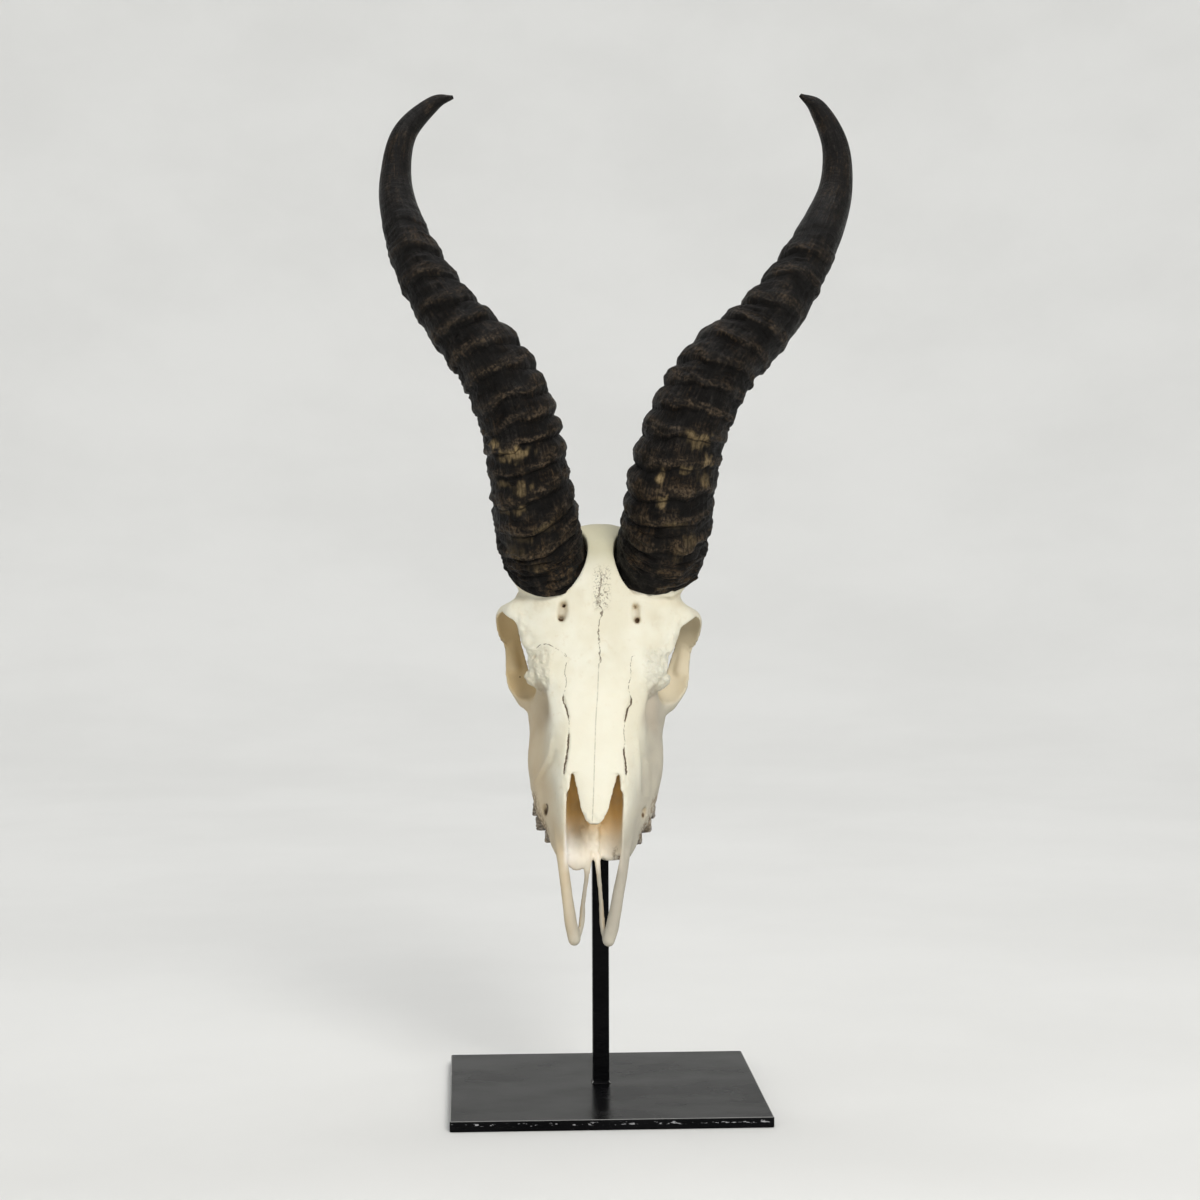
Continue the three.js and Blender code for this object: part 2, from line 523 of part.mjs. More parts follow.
head.add(named('skull', skullGeometry(head.matrixWorld.clone().invert()), BONE_MATERIAL));
for (const [name, horn] of Object.entries(HORNS)) {
  head.add(named(name, hornGeometry(horn), HORN_MATERIAL));
}
for (const [side, hand] of [[-1, 'left'], [1, 'right']]) {
  for (const tooth of TEETH) {
    const geometry = closedMesh(toothSkin(tooth, side));
    head.add(named(`${tooth.name}_${hand}`, geometry, TOOTH_MATERIAL));
  }
}

export default model;
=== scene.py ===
"""A cleaned antelope skull with ringed horns, hung nose down on a blackened steel stand.

Sizes are written in millimetres and turned into metres when a mesh is made. The skull, horns and
teeth are worked out in the head's own frame (X to the picture's right, Y from brow to palate,
Z from the snout's tip to the back of the skull) and then turned into the model's frame.
"""
import math
from itertools import product

import bpy
import numpy as np
from mathutils import Euler, Matrix, Vector


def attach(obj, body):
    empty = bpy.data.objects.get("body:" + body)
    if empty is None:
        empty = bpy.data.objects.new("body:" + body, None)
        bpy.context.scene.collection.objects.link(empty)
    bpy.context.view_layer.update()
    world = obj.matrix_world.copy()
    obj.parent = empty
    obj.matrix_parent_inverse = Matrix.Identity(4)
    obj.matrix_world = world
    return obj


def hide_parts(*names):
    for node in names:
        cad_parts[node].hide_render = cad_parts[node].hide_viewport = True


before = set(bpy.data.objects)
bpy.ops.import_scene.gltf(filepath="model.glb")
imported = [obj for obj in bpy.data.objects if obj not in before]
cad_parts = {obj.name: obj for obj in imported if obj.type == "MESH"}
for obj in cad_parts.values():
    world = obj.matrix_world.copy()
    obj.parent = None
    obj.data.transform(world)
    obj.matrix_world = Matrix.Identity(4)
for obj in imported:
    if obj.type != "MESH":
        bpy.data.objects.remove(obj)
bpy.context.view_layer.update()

MM = 0.001
CORNERS = list(product((0, 1), repeat=3))

# ---- How the head sits on the post -----------------------------------------------------------
HEAD_ORIGIN = np.array([-9.9, -92.0, 96.2])
HEAD_TURNS = (math.radians(-20.0), math.radians(1.6), math.radians(-2.6))
HEAD_AXES = np.array(Euler(HEAD_TURNS, "XYZ").to_matrix())

# ---- Stand -----------------------------------------------------------------------------------
PLATE_SIDE = 150.0
PLATE_THICKNESS = 5.0
POST_SIDE = 8.0
POST_CENTRE = (-1.3, 6.0)
POST_TOP = 243.0
FIT_GAP = 0.3
POST_CORNER = 0.55
PLATE_CORNER = 1.0
# height over the plate, growth past the bar's side: a low weld bead runs round the foot
POST_PROFILE = [(0, 0.8), (0.25, 0.7), (1.2, 0), (60, 0), (120, 0), (180, 0), (236, 0), (237.6, 0),
                (238, -0.4)]
# inset from the plate's side, height
PLATE_PROFILE = [(0.5, 0), (0.12, 0.15), (0, 0.5), (0, 4.5), (0.15, 4.85), (0.5, 5.0)]

# ---- Horns: the solids' centre lines, widths and grooves, but the left foot is narrower and
# ---- nearer the middle, and the rims' fronts have a depth (rim_front) and a tilt (rim_rise)
HORNS = {
    "horn_left": {
        "inward": 1,
        "rim_front": 1.26,
        "rim_rise": 0.0,
        "ring_slope": [(0, 0.1), (25, 0.3), (60, 0.3), (95, -0.25), (130, -0.8), (200, -0.8)],
        "line": [(-25.4, 6.5, 177), (-28.7, -4.8, 185.2), (-30.9, -13.9, 192.2), (-34.3, -27.4, 207.1),
                 (-40, -40.7, 231.3), (-52.7, -47.9, 255), (-72, -49.3, 277.2), (-88.2, -46.7, 303.5),
                 (-99.5, -42.6, 334.8), (-102.2, -40.7, 356.2), (-98.8, -41.1, 376.9),
                 (-85.9, -42, 392.4), (-76.4, -42, 396.4)],
        "half_width": (19.2, 19.4, 19.5, 18.4, 17.8, 16.7, 13.9, 11.6, 9.2, 7.3, 5.9, 3.7, 0.9),
        "ring_edges": (9, 20, 31, 42, 53, 64, 72, 81, 91, 102, 114, 128, 143, 160, 178, 196),
    },
    "horn_right": {
        "inward": -1,
        "rim_front": 1.04,
        "rim_rise": 1.2,
        "ring_slope": [(0, 0.0), (20, -0.35), (60, -0.4), (95, -0.5), (130, -0.8), (200, -0.8)],
        "line": [(26.9, 6.5, 177.5), (29.4, -5, 186.4), (31.1, -13.3, 193), (33, -26.9, 208.1),
                 (39.6, -39.8, 232.2), (53.1, -46, 256.7), (73.1, -45.3, 278.7), (89.9, -40.7, 306.4),
                 (103.4, -34.8, 337.3), (109.5, -32.6, 358.7), (109, -33.8, 380.1),
                 (100.6, -37, 397.6), (91.7, -39, 403.9)],
        "half_width": (20.8, 20.4, 20.2, 19.9, 18.7, 17.3, 14.2, 12.2, 10.2, 8, 6.4, 4.4, 0.9),
        "ring_edges": (6, 16, 27, 37, 49, 62, 73, 83, 93, 104, 117, 132, 149, 166, 184, 200),
    },
}
# directions along the base rim to the back, and out of it
HORN_BASE_BACK = np.array([0.0, 0.48, 0.877])
HORN_BASE_OUT = np.array([0.0, -0.877, 0.48])
HORN_DEPTH_AT_BASE = 1.18
HORN_DEPTH_AT_TIP = 1.02
FOOT_ROWS = 64
HORN_ROWS = 576
HORN_SIDES = 150
RING_RELIEF = 3.0
# worn amber places: (distance from the base, degrees round, half length, half width, strength), in mm
WORN_SPOTS = {
    "horn_left": [
        (60.5, 257, 3.2, 8, 1.0), (65.9, 225, 2.6, 4, 0.75), (48.3, 232, 2, 5, 0.5), (47, 259, 2.6, 5, 0.5),
        (38.6, 251, 2.4, 3.4, 0.85), (37.4, 226, 1.6, 4, 0.6), (20, 243, 4, 6, 0.5), (30.2, 288, 2.2, 7, 0.5),
        (14, 267, 3, 6, 0.4), (26.5, 250, 1.8, 8, 0.4)],
    "horn_right": [
        (49.5, 249, 4.6, 2.2, 0.8), (41.7, 257, 2, 2.8, 1.0), (55, 284, 2, 5, 0.4), (59.2, 310, 3, 4, 0.5),
        (52.3, 315, 3, 4, 0.45), (67.9, 290, 4, 7, 0.5), (33.5, 276, 1.8, 6, 0.4), (20.6, 288, 2.4, 5, 0.45),
        (26.1, 301, 3, 4.5, 0.5)],
}

# ---- Skull: the solids' stations, bars and balls, but the socket's rear wall is thicker and
# ---- further in, and each brow groove has two more small holes. A station is a height and half
# ---- of the ring there; a bar is a path and its radii; a ball is a centre and its half sizes.
MUZZLE_STATIONS = [
    (42, [(0, 24), (8, 24), (14, 24.5), (16.6, 28), (17.4, 33), (17.6, 38), (15.5, 43.5), (8, 45.5),
          (0, 45.5)]),
    (47, [(0, 19), (8, 19), (14, 20), (17, 24.5), (19, 31), (20, 37.5), (18.5, 44.5), (10, 46), (0, 46)]),
    (54, [(0, 13), (8, 13), (14.2, 13.5), (17.4, 19), (20.2, 28), (22, 37.5), (21.4, 45), (11, 47), (0, 47)]),
    (62, [(0, 8), (8, 8), (14.6, 8.7), (18.4, 16), (22.6, 27), (26.4, 38), (25.6, 45.5), (12, 48), (0, 48)]),
    (76, [(0, 4), (8, 4.3), (14.6, 5.4), (19.5, 13), (25, 25), (30, 37), (28.6, 46.5), (13, 49), (0, 49)]),
    (88, [(0, 2.2), (8, 2.5), (14.4, 3.6), (20.5, 10), (25.8, 23), (32, 36), (29.6, 47.5), (13, 50),
          (0, 50)]),
    (102, [(0, 1), (8, 1.3), (15, 2.4), (21.6, 7), (25, 20), (31.6, 36), (29, 47.5), (13, 50.5), (0, 50.5)]),
    (114, [(0, 0.4), (9, 0.6), (18, 2), (24.6, 7), (27, 18), (32.6, 35), (29, 48), (12, 50), (0, 50)]),
    (126, [(0, -0.4), (11, -0.2), (23, 1.4), (30, 6), (30.5, 16), (29, 29), (22, 41), (10, 46), (0, 46)]),
    (136, [(0, 2), (9, 2), (17, 4), (21, 10), (22, 18), (20, 28), (15, 36), (8, 40), (0, 40)]),
]
BROW_STATIONS = [
    (112, [(0, 1.5), (8, 1.6), (14, 3), (17, 7), (14, 11), (7, 13), (0, 13)]),
    (122, [(0, -0.2), (13, 0.4), (25, 3), (29.5, 8), (24, 14), (12, 17), (0, 17)]),
    (134, [(0, -1.4), (14, -1), (26, 1.2), (31.5, 6.5), (27, 13), (13, 18), (0, 18)]),
    (142, [(0, -2.4), (15, -2.2), (30, 0.6), (37, 6), (32, 12), (15, 18), (0, 18)]),
    (151, [(0, -3.2), (17, -3.2), (34, 1.2), (44, 9.5), (39, 17), (18, 20), (0, 20)]),
    (160, [(0, -3.4), (17, -3.2), (31, 1.2), (39.5, 11), (36, 20), (18, 24), (0, 24)]),
    (172, [(0, -1.6), (14, -1.2), (25, 3), (30, 12), (28, 22), (15, 28), (0, 28)]),
    (184, [(0, 3), (10, 3.6), (19, 8), (24, 16), (22, 26), (11, 30), (0, 30)]),
]
NASAL_STATIONS = [
    (50.8, [(0, 8.1), (1.7, 8.2), (3.1, 8.8), (1.7, 9.6), (0, 9.6)]),
    (53, [(0, 7.4), (2.5, 7.6), (4.6, 8.6), (2.5, 9.5), (0, 9.5)]),
    (58, [(0, 6.5), (3.7, 6.8), (6.7, 8.2), (3.7, 9.2), (0, 9)]),
    (64, [(0, 5.6), (4.6, 5.9), (8.2, 7.6), (4.6, 8), (0, 7.8)]),
    (73, [(0, 4.4), (6, 4.7), (10.4, 6.3), (6, 7), (0, 6.8)]),
    (84, [(0, 2.8), (7, 3.1), (12.4, 4.5), (7, 6), (0, 6)]),
]
CAVITY_STATIONS = [
    (26, [(0, -8), (8, -8), (12, -7), (12.6, 10), (12, 30), (8, 40), (0, 41)]),
    (46, [(0, -8), (9, -8), (12.8, -7), (13, 12), (12.6, 30), (9, 39.5), (0, 40.5)]),
    (60, [(0, -8), (9, -8), (13, -7), (13.1, 14), (13.4, 29), (9.5, 38), (0, 39)]),
    (70, [(0, -6), (8, -6), (12.2, -5), (13, 12), (13.6, 28), (9.5, 37), (0, 38)]),
    (76, [(0, 6.5), (7, 6.6), (11, 8), (12.6, 15), (13, 28), (9, 36), (0, 37)]),
    (98, [(0, 5), (6, 5.2), (10, 8), (11.6, 15), (11, 27), (7, 34), (0, 35)]),
    (112, [(0, 9), (3, 9.4), (5, 12), (6, 18), (5, 25), (3, 28), (0, 28.6)]),
]
SOCKET_BAR = ([(39.6, 9, 152), (43.2, 18, 152.6), (42.4, 27, 148), (39.8, 33, 137), (37.8, 36, 126.6),
               (33, 37, 118.4)], (5, 6, 6.2, 6, 6, 5.2))
SOCKET_WALL = ([(35, 12, 157.5), (39.4, 20.4, 157.5), (40.4, 28.6, 153.5), (39.4, 34.6, 146), (38.4, 38, 137),
                (36.6, 39.4, 128), (33.4, 39.2, 119)], (3, 3.4, 3.8, 4.2, 4.4, 4.4, 4.2))
TOOTH_CARRIER = ([(16.5, 43.5, 50), (20, 44.5, 57), (22.6, 45.5, 66), (24.6, 46.5, 78), (25, 46.5, 92),
                  (24.4, 46.5, 108), (21, 44, 118)], (3, 3.4, 3.8, 4, 4.2, 4.2, 3.6))
BROW_EDGE = ([(38.4, 11, 155), (37, 9, 149.8), (35, 8.2, 144), (32.8, 7.6, 138), (29.6, 8.2, 132),
              (28.8, 11, 126), (28.6, 14, 120)], (2.6, 2.8, 3.1, 3.3, 3.4, 3.6, 3.4))
VOMER = ([(0, 37, 92), (0, 35.5, 70), (0.2, 36, 58), (0.5, 38, 48), (0.5, 39.5, 43)], (2, 2.4, 3, 2.6, 1.4))
PALATE_FRONTS = [((-7.8, 36, 43.5), (6.4, 1.8, 9.6)), ((-7.4, 38.4, 54), (6.6, 2.2, 11)),
                 ((8, 42.5, 46), (7, 2, 5))]
KEEL = ([(0, 40, 196), (0, 46, 184), (0, 45, 166), (0, 43.5, 150), (0, 41, 136), (0, 38, 124)],
        (8, 8, 8.5, 8.2, 6, 4))
SLIM_LIMBS = [
    ([(40, 40, 134), (42, 39.4, 146), (41, 38.5, 158), (37, 37, 169), (30, 34, 178)], (3.4, 3.2, 3, 3.2, 4)),
    ([(15.2, 20, 62), (15.8, 26, 50), (14.2, 28.5, 36), (11.7, 29, 20), (9.7, 29.6, 8), (8, 30.6, 0.6)],
     (1.8, 2.5, 2.5, 2.7, 3.1, 2.9)),
    ([(7.2, 31.5, 1.5), (5.2, 33, 6), (4, 35.5, 21), (2.4, 38, 36), (1.6, 40.5, 48)],
     (1.5, 1.3, 1.2, 1.3, 1.6)),
    ([(13, 6.6, 78), (12.6, 6.6, 72), (12.4, 6.8, 66.4)], (1.4, 1.2, 0.6)),
    ([(10, 46, 118), (10.5, 50, 128), (10.5, 50, 138), (9.5, 45, 150)], (2.6, 2, 2, 2.6)),
    ([(19, 38, 186), (21, 47, 187), (20.5, 56, 183)], (5, 3.4, 1.8)),
]
BRAIN_BALLS = [((0, 21, 170), (30.5, 24.5, 30)), ((0, 28, 184), (26.5, 20, 17))]
SMALL_BALLS = [((8.5, 43, 197), (5.8, 7, 6.5)), ((15, 43, 172), (6.5, 9.5, 9)), ((26.5, 33, 178), (6, 6, 8))]
TEAR_KNOB = ((30.9, 12.5, 121.4), (3.3, 3.6, 3.2))
HOLLOWS = [((36.6, 21.5, 136), (12.5, 16.3, 16.5), -20), ((33.5, 24, 143), (10.5, 13, 13), 0),
           ((40.8, 17, 148.4), (7, 10, 8.6), 0), ((35.8, 26, 127), (9.5, 12, 13), 0),
           ((32.4, 12.5, 107.5), (10, 10, 11.5), 0), ((36.5, 23.5, 169.5), (8.5, 11, 11), 0),
           ((17.4, -4.6, 150), (2.6, 3.4, 6.4), 0), ((17.8, -3, 146.6), (1.5, 5, 1.7), 0),
           ((16.8, -3, 153.2), (1, 5, 1.1), 0), ((23.4, 30.4, 61.5), (1.7, 3, 2.8), 0)]
SOCKET_HOLLOWS = 4
NECK_HOLE = ((0, 35, 204), (8, 7, 12))
PEDICLE_MIDDLE = np.array(HORNS["horn_right"]["line"][0]) - np.array([0.2, 0, 0.25])
PEDICLE_HALF_WIDTH = 20.8
PEDICLE_REACH = 30.0
PEDICLE_DROP = 16.0
PEDICLE_SCALE = 0.9
PEDICLE_TAPER = 0.024
HORN_SEAT_SCALE = 0.985
POST_HOLE_BOX = (np.array([-12, 30, 100]), np.array([12, 66, 185]))
RELAX_ROUNDS = 3
# how far out from the bone the shelter is looked for, in mm
SHELTER_LOOKS = (5, 2.5)
# grid steps of the bone: fine over the face and the brow, coarser behind
BONE_STEPS = {"x": [(0, 0.74), (36, 0.9), (54, 0.9)], "y": [(-11, 0.66), (18, 1.15), (63, 1.15)],
              "z": [(-7, 1.1), (38, 0.8), (160, 1.15), (208, 1.15)]}

# name, middle of the root, length along the row, width
TEETH = [
    ("premolar_2", (20.4, 46, 53.4), 5.6, 5),
    ("premolar_3", (24.4, 47, 60), 6.6, 6),
    ("premolar_4", (26, 48, 67.4), 7.2, 6.4),
    ("molar_1", (26, 48.6, 77), 10.6, 7.4),
    ("molar_2", (26.2, 48.6, 89.6), 13, 7.8),
    ("molar_3", (25.6, 48, 103.6), 13.4, 7.4),
]
TOOTH_ROOT = 4.0
TOOTH_CROWN = 6.5
CUSP_RISE = 2.2
TOOTH_SPACING_GAP = 0.25
TOOTH_ROWS = 26
TOOTH_SIDES = 48
TOOTH_SQUARENESS = 0.32
CHEW_ROWS = 6


# ---- Small tools -------------------------------------------------------------------------------
def to_model(points):
    """Head frame, millimetres -> model frame, metres."""
    return (points @ HEAD_AXES.T + HEAD_ORIGIN) * MM


def spline(points, t, closed=False):
    """Catmull-Rom curve through the points, read at t from 0 to 1: four neighbours are blended by
    the usual cubic weights, and past an open end the last step is repeated."""
    points = np.asarray(points, float)
    count = len(points)
    t = np.asarray(t, float)
    if closed:
        place = (t % 1.0) * count
        low = np.floor(place).astype(int)
        near = [points[(low + k) % count] for k in (-1, 0, 1, 2)]
    else:
        padded = np.concatenate([[2 * points[0] - points[1]], points, [2 * points[-1] - points[-2]]])
        place = t * (count - 1)
        low = np.clip(np.floor(place).astype(int), 0, count - 2)
        near = [padded[low + k] for k in (0, 1, 2, 3)]
    f = place - low
    f = f.reshape(f.shape + (1,) * (points.ndim - 1))
    a, b, c, d = near
    return 0.5 * (2 * b + (c - a) * f + (2 * a - 5 * b + 4 * c - d) * f**2 + (3 * b - a - 3 * c + d) * f**3)


def smoothstep(x, low, high):
    """0 below low, 1 above high, and the cubic 3f^2 - 2f^3 between."""
    f = np.clip((x - low) / (high - low), 0, 1)
    return f * f * (3 - 2 * f)


def window(x, rise, full, fade, gone):
    """1 between full and fade, 0 before rise and after gone, with smooth steps between."""
    return smoothstep(x, rise, full) * (1 - smoothstep(x, fade, gone))


NOISE_CELLS = 32


def noise(points, size, seed):
    """Soft noise from -1 to 1: random values on a lattice of the given cell size, blended between
    the eight corners round each point by smooth weights."""
    lattice = np.random.default_rng(seed).uniform(-1, 1, (NOISE_CELLS,) * 3)
    p = np.asarray(points, float) / size
    cell = np.floor(p).astype(int)
    f = p - cell
    f = f * f * (3 - 2 * f)
    total = 0.0
    for dx, dy, dz in CORNERS:
        weight = np.where(dx, f[..., 0], 1 - f[..., 0]) * np.where(dy, f[..., 1], 1 - f[..., 1])
        weight = weight * np.where(dz, f[..., 2], 1 - f[..., 2])
        corner = (cell + (dx, dy, dz)) % NOISE_CELLS
        total = total + weight * lattice[corner[..., 0], corner[..., 1], corner[..., 2]]
    return total


def mesh_object(name, points, faces, attributes=None, smooth=True):
    """A mesh from points in metres and rows of vertex numbers, with optional point attributes."""
    mesh = bpy.data.meshes.new(name)
    faces = np.asarray(faces, dtype=np.int32)
    sides = faces.shape[1]
    mesh.vertices.add(len(points))
    mesh.vertices.foreach_set("co", np.asarray(points, dtype=np.float32).ravel())
    mesh.loops.add(faces.size)
    mesh.loops.foreach_set("vertex_index", faces.ravel())
    mesh.polygons.add(len(faces))
    mesh.polygons.foreach_set("loop_start", np.arange(0, faces.size, sides, dtype=np.int32))
    mesh.update(calc_edges=True)
    mesh.validate()
    mesh.polygons.foreach_set("use_smooth", np.full(len(mesh.polygons), smooth))
    for label, values in (attributes or {}).items():
        kind = "FLOAT" if values.ndim == 1 else "FLOAT_VECTOR"
        field = "value" if values.ndim == 1 else "vector"
        mesh.attributes.new(label, kind, "POINT").data.foreach_set(field, values.astype(np.float32).ravel())
    thing = bpy.data.objects.new(name, mesh)
    bpy.context.collection.objects.link(thing)
    return thing


def tube_faces(rows, sides, first=0):
    """Four-sided faces between the rings of a tube whose points are numbered from the first, and
    the rings' own point numbers."""
    ring = first + np.arange(rows)[:, None] * sides + np.arange(sides)[None, :]
    following = np.roll(ring, -1, axis=1)
    quads = np.stack([ring[:-1], following[:-1], following[1:], ring[1:]], axis=-1).reshape(-1, 4)
    return quads, ring


def capped_faces(rows, sides):
    """Triangles of a tube that a fan closes at each end: point 0 is the middle of the first ring
    and the last point is the middle of the last ring."""
    quads, ring = tube_faces(rows, sides, first=1)
    last = rows * sides + 1
    return np.concatenate([
        np.stack([np.zeros(sides, int), np.roll(ring[0], -1), ring[0]], -1),
        np.stack([np.full(sides, last), ring[-1], np.roll(ring[-1], -1)], -1),
        quads[:, [0, 1, 2]],
        quads[:, [0, 2, 3]],
    ])


def with_middles(rings):
    """Values on rings as one list, between the means of the first and of the last ring."""
    flat = rings.reshape((-1,) + rings.shape[2:])
    return np.concatenate([rings[0].mean(0)[None], flat, rings[-1].mean(0)[None]])


def closed_skin(name, rings, attributes=None):
    """A closed skin over rings of points (rows x sides x 3, millimetres, head frame): each end is
    closed round the middle of its last ring."""
    rows, sides, _ = rings.shape
    points = with_middles(rings)
    faces = capped_faces(rows, sides)
    corner = points[faces]
    volume = np.einsum("ij,ij->i", corner[:, 0], np.cross(corner[:, 1], corner[:, 2])).sum()
    if volume < 0:
        faces = faces[:, ::-1]
    full = {label: with_middles(values) for label, values in (attributes or {}).items()}
    return mesh_object(name, to_model(points), faces, full)


# ---- The bone as a field ----------------------------------------------------------------------
def smooth_min(a, b, blend):
    """The lesser of two distances, rounded over where they are within the blend of each other."""
    h = np.maximum(blend - np.abs(a - b), 0) / blend
    return np.minimum(a, b) - 0.25 * blend * h * h


def smooth_max(a, b, blend):
    """The greater of two distances, rounded over in the same way."""
    return -smooth_min(-a, -b, blend)


def stepped(stops):
    """Grid places along an axis: from each stop to the next with that stop's own step."""
    runs = [np.linspace(a, b, round((b - a) / step), endpoint=False)
            for (a, step), (b, _) in zip(stops, stops[1:])]
    return np.concatenate(runs + [[stops[-1][0]]]).astype(np.float32)


class BoneField:
    """Distances to the bone's surface on a grid: negative inside, positive outside."""

    def __init__(self, axes):
        self.axes = axes
        self.value = np.full([len(a) for a in self.axes], 40.0, dtype=np.float32)

    def block(self, low, high):
        """The part of the grid between two corners, as slices and as points."""
        cut = []
        for axis, a, b in zip(self.axes, low, high):
            cut.append(slice(*np.searchsorted(axis, (a, b))))
        grid = np.stack(np.meshgrid(*[axis[c] for axis, c in zip(self.axes, cut)], indexing="ij"), -1)
        return tuple(cut), grid

    def join(self, shape, blend):
        """Adds a shape: the smooth lesser of the two distances."""
        distance, low, high = shape
        cut, grid = self.block(low - blend - 2, high + blend + 2)
        self.value[cut] = smooth_min(self.value[cut], distance(grid), blend)

    def carve(self, shape, blend):
        """Takes a shape away: the smooth greater of the distance and the shape's, turned inside out."""
        distance, low, high = shape
        cut, grid = self.block(low - blend - 2, high + blend + 2)
        self.value[cut] = smooth_max(self.value[cut], -distance(grid), blend)

    def mirrored(self):
        """The whole head from its right half, which starts on the middle plane."""
        whole = BoneField([np.concatenate([-self.axes[0][:0:-1], self.axes[0]]), self.axes[1], self.axes[2]])
        whole.value = np.concatenate([self.value[:0:-1], self.value])
        return whole


def ball(centre, size, turn=0.0):
    """An ellipsoid: the length of the point in units of the half sizes, less one, is turned into a
    distance by the slope of that length."""
    centre = np.array(centre, float)
    size = np.array(size, float)
    angle = math.radians(turn)
    spin = np.array([[math.cos(angle), math.sin(angle)], [-math.sin(angle), math.cos(angle)]])

    def distance(p):
        q = p - centre
        q = np.concatenate([q[..., :2] @ spin.T, q[..., 2:]], -1) / size
        length = np.sqrt((q**2).sum(-1))
        slope = np.sqrt(((q / size) ** 2).sum(-1)) + 1e-6
        return length * (length - 1) / slope

    reach = max(size[0], size[1]) if turn else 0
    span = np.maximum(size, [reach, reach, 0])
    return distance, centre - span, centre + span


def merged(shapes, blend):
    """Several shapes as one, rounded over where they meet."""
    def distance(p):
        total = shapes[0][0](p)
        for other, _, _ in shapes[1:]:
            total = smooth_min(total, other(p), blend)
        return total

    lowest = np.min([low for _, low, _ in shapes], axis=0)
    highest = np.max([high for _, _, high in shapes], axis=0)
    return distance, lowest, highest


def limb(path, radii, pieces=18):
    """A rounded bar: the nearest of a chain of short cones along a curve through the path."""
    t = np.linspace(0, 1, pieces + 1)
    centres = spline(path, t)
    girth = np.interp(t, np.linspace(0, 1, len(radii)), radii)

    def distance(p):
        best = np.full(p.shape[:-1], 1e3)
        for k in range(pieces):
            along = centres[k + 1] - centres[k]
            offset = p - centres[k]
            share = np.clip(offset @ along / (along @ along), 0, 1)
            gap = np.sqrt(((offset - share[..., None] * along) ** 2).sum(-1))
            best = np.minimum(best, gap - girth[k] - share * (girth[k + 1] - girth[k]))
        return best

    return distance, centres.min(0) - girth.max(), centres.max(0) + girth.max()


OUTLINE_POINTS = 72


def loft(stations):
    """A loft: at each height the half ring is read from splines along the stations, mirrored, and
    rounded by a closed spline, and the distance is that to the outline in its own plane."""
    levels = np.array([z for z, _ in stations], float)
    half = np.array([ring for _, ring in stations], float)
    rest = half[:, -2:0:-1] * (-1, 1)
    rings = np.concatenate([half, rest], axis=1)
    fine = np.linspace(0, 1, 400)
    fine_levels = spline(levels[:, None], fine)[:, 0]

    def outline(z):
        t = np.interp(z, fine_levels, fine)
        around = np.arange(OUTLINE_POINTS) / OUTLINE_POINTS
        return spline(spline(rings, np.array([t]))[0], around, closed=True)

    def distance(p):
        result = np.empty(p.shape[:-1], np.float32)
        flat = p[:, :, 0, :2].reshape(-1, 1, 2).astype(np.float32)
        for k, z in enumerate(p[0, 0, :, 2]):
            a = outline(np.clip(z, levels[0], levels[-1])).astype(np.float32)
            b = np.roll(a, -1, axis=0)
            edge = b - a
            offset = flat - a
            share = np.clip((offset * edge).sum(-1) / ((edge**2).sum(-1) + 1e-9), 0, 1)
            gap = np.sqrt(((offset - share[..., None] * edge) ** 2).sum(-1)).min(-1)
            above = (a[:, 1] > flat[..., 1]) != (b[:, 1] > flat[..., 1])
            height = np.where(np.abs(edge[:, 1]) < 1e-9, 1e-9, edge[:, 1])
            crossing = flat[..., 0] < a[:, 0] + edge[:, 0] * (flat[..., 1] - a[:, 1]) / height
            inside = (above & crossing).sum(-1) % 2 == 1
            gap = np.where(inside, -gap, gap)
            past = max(levels[0] - z, z - levels[-1])
            if past > 0:
                gap = np.sqrt(np.maximum(gap, 0) ** 2 + past**2)
            else:
                gap = np.maximum(gap, past)
            result[:, :, k] = gap.reshape(p.shape[:2])
        return result

    low = np.array([0, half[..., 1].min(), levels[0]])
    high = np.array([half[..., 0].max(), half[..., 1].max(), levels[-1]])
    return distance, low, high


def horn_foot(shrink, top, bottom, taper=0.0):
    """An oval plug square to the horn's base rim, between two heights over the rim; the taper is how
    much of its width it loses for each millimetre below the rim."""
    wide = PEDICLE_HALF_WIDTH * shrink
    deep = wide * HORN_DEPTH_AT_BASE
    middle = (top + bottom) / 2

    def distance(p):
        q = p - PEDICLE_MIDDLE
        across = q[..., 0] / wide
        back = q @ HORN_BASE_BACK / deep
        out = q @ HORN_BASE_OUT
        side = (np.sqrt(across**2 + back**2) - 1 + taper * np.maximum(-out, 0)) * wide
        return np.maximum(side, np.abs(out - middle) - abs(top - bottom) / 2)

    return distance, PEDICLE_MIDDLE - PEDICLE_REACH, PEDICLE_MIDDLE + PEDICLE_REACH


def box(centre, half):
    """A block with square edges."""
    centre = np.array(centre, float)
    half = np.array(half, float)

    def distance(p):
        q = np.abs(p - centre) - half
        return np.sqrt((np.maximum(q, 0) ** 2).sum(-1)) + np.minimum(q.max(-1), 0)

    return distance, centre - half, centre + half


def post_hole():
    """The square hole for the post, which stands upright in the model's frame."""
    side = POST_SIDE / 2 + FIT_GAP
    top = POST_TOP + FIT_GAP

    def distance(p):
        q = p @ HEAD_AXES.T + HEAD_ORIGIN
        across = np.maximum(np.abs(q[..., 0] - POST_CENTRE[0]), np.abs(q[..., 1] - POST_CENTRE[1])) - side
        return np.maximum(across, q[..., 2] - top)

    return distance, *POST_HOLE_BOX


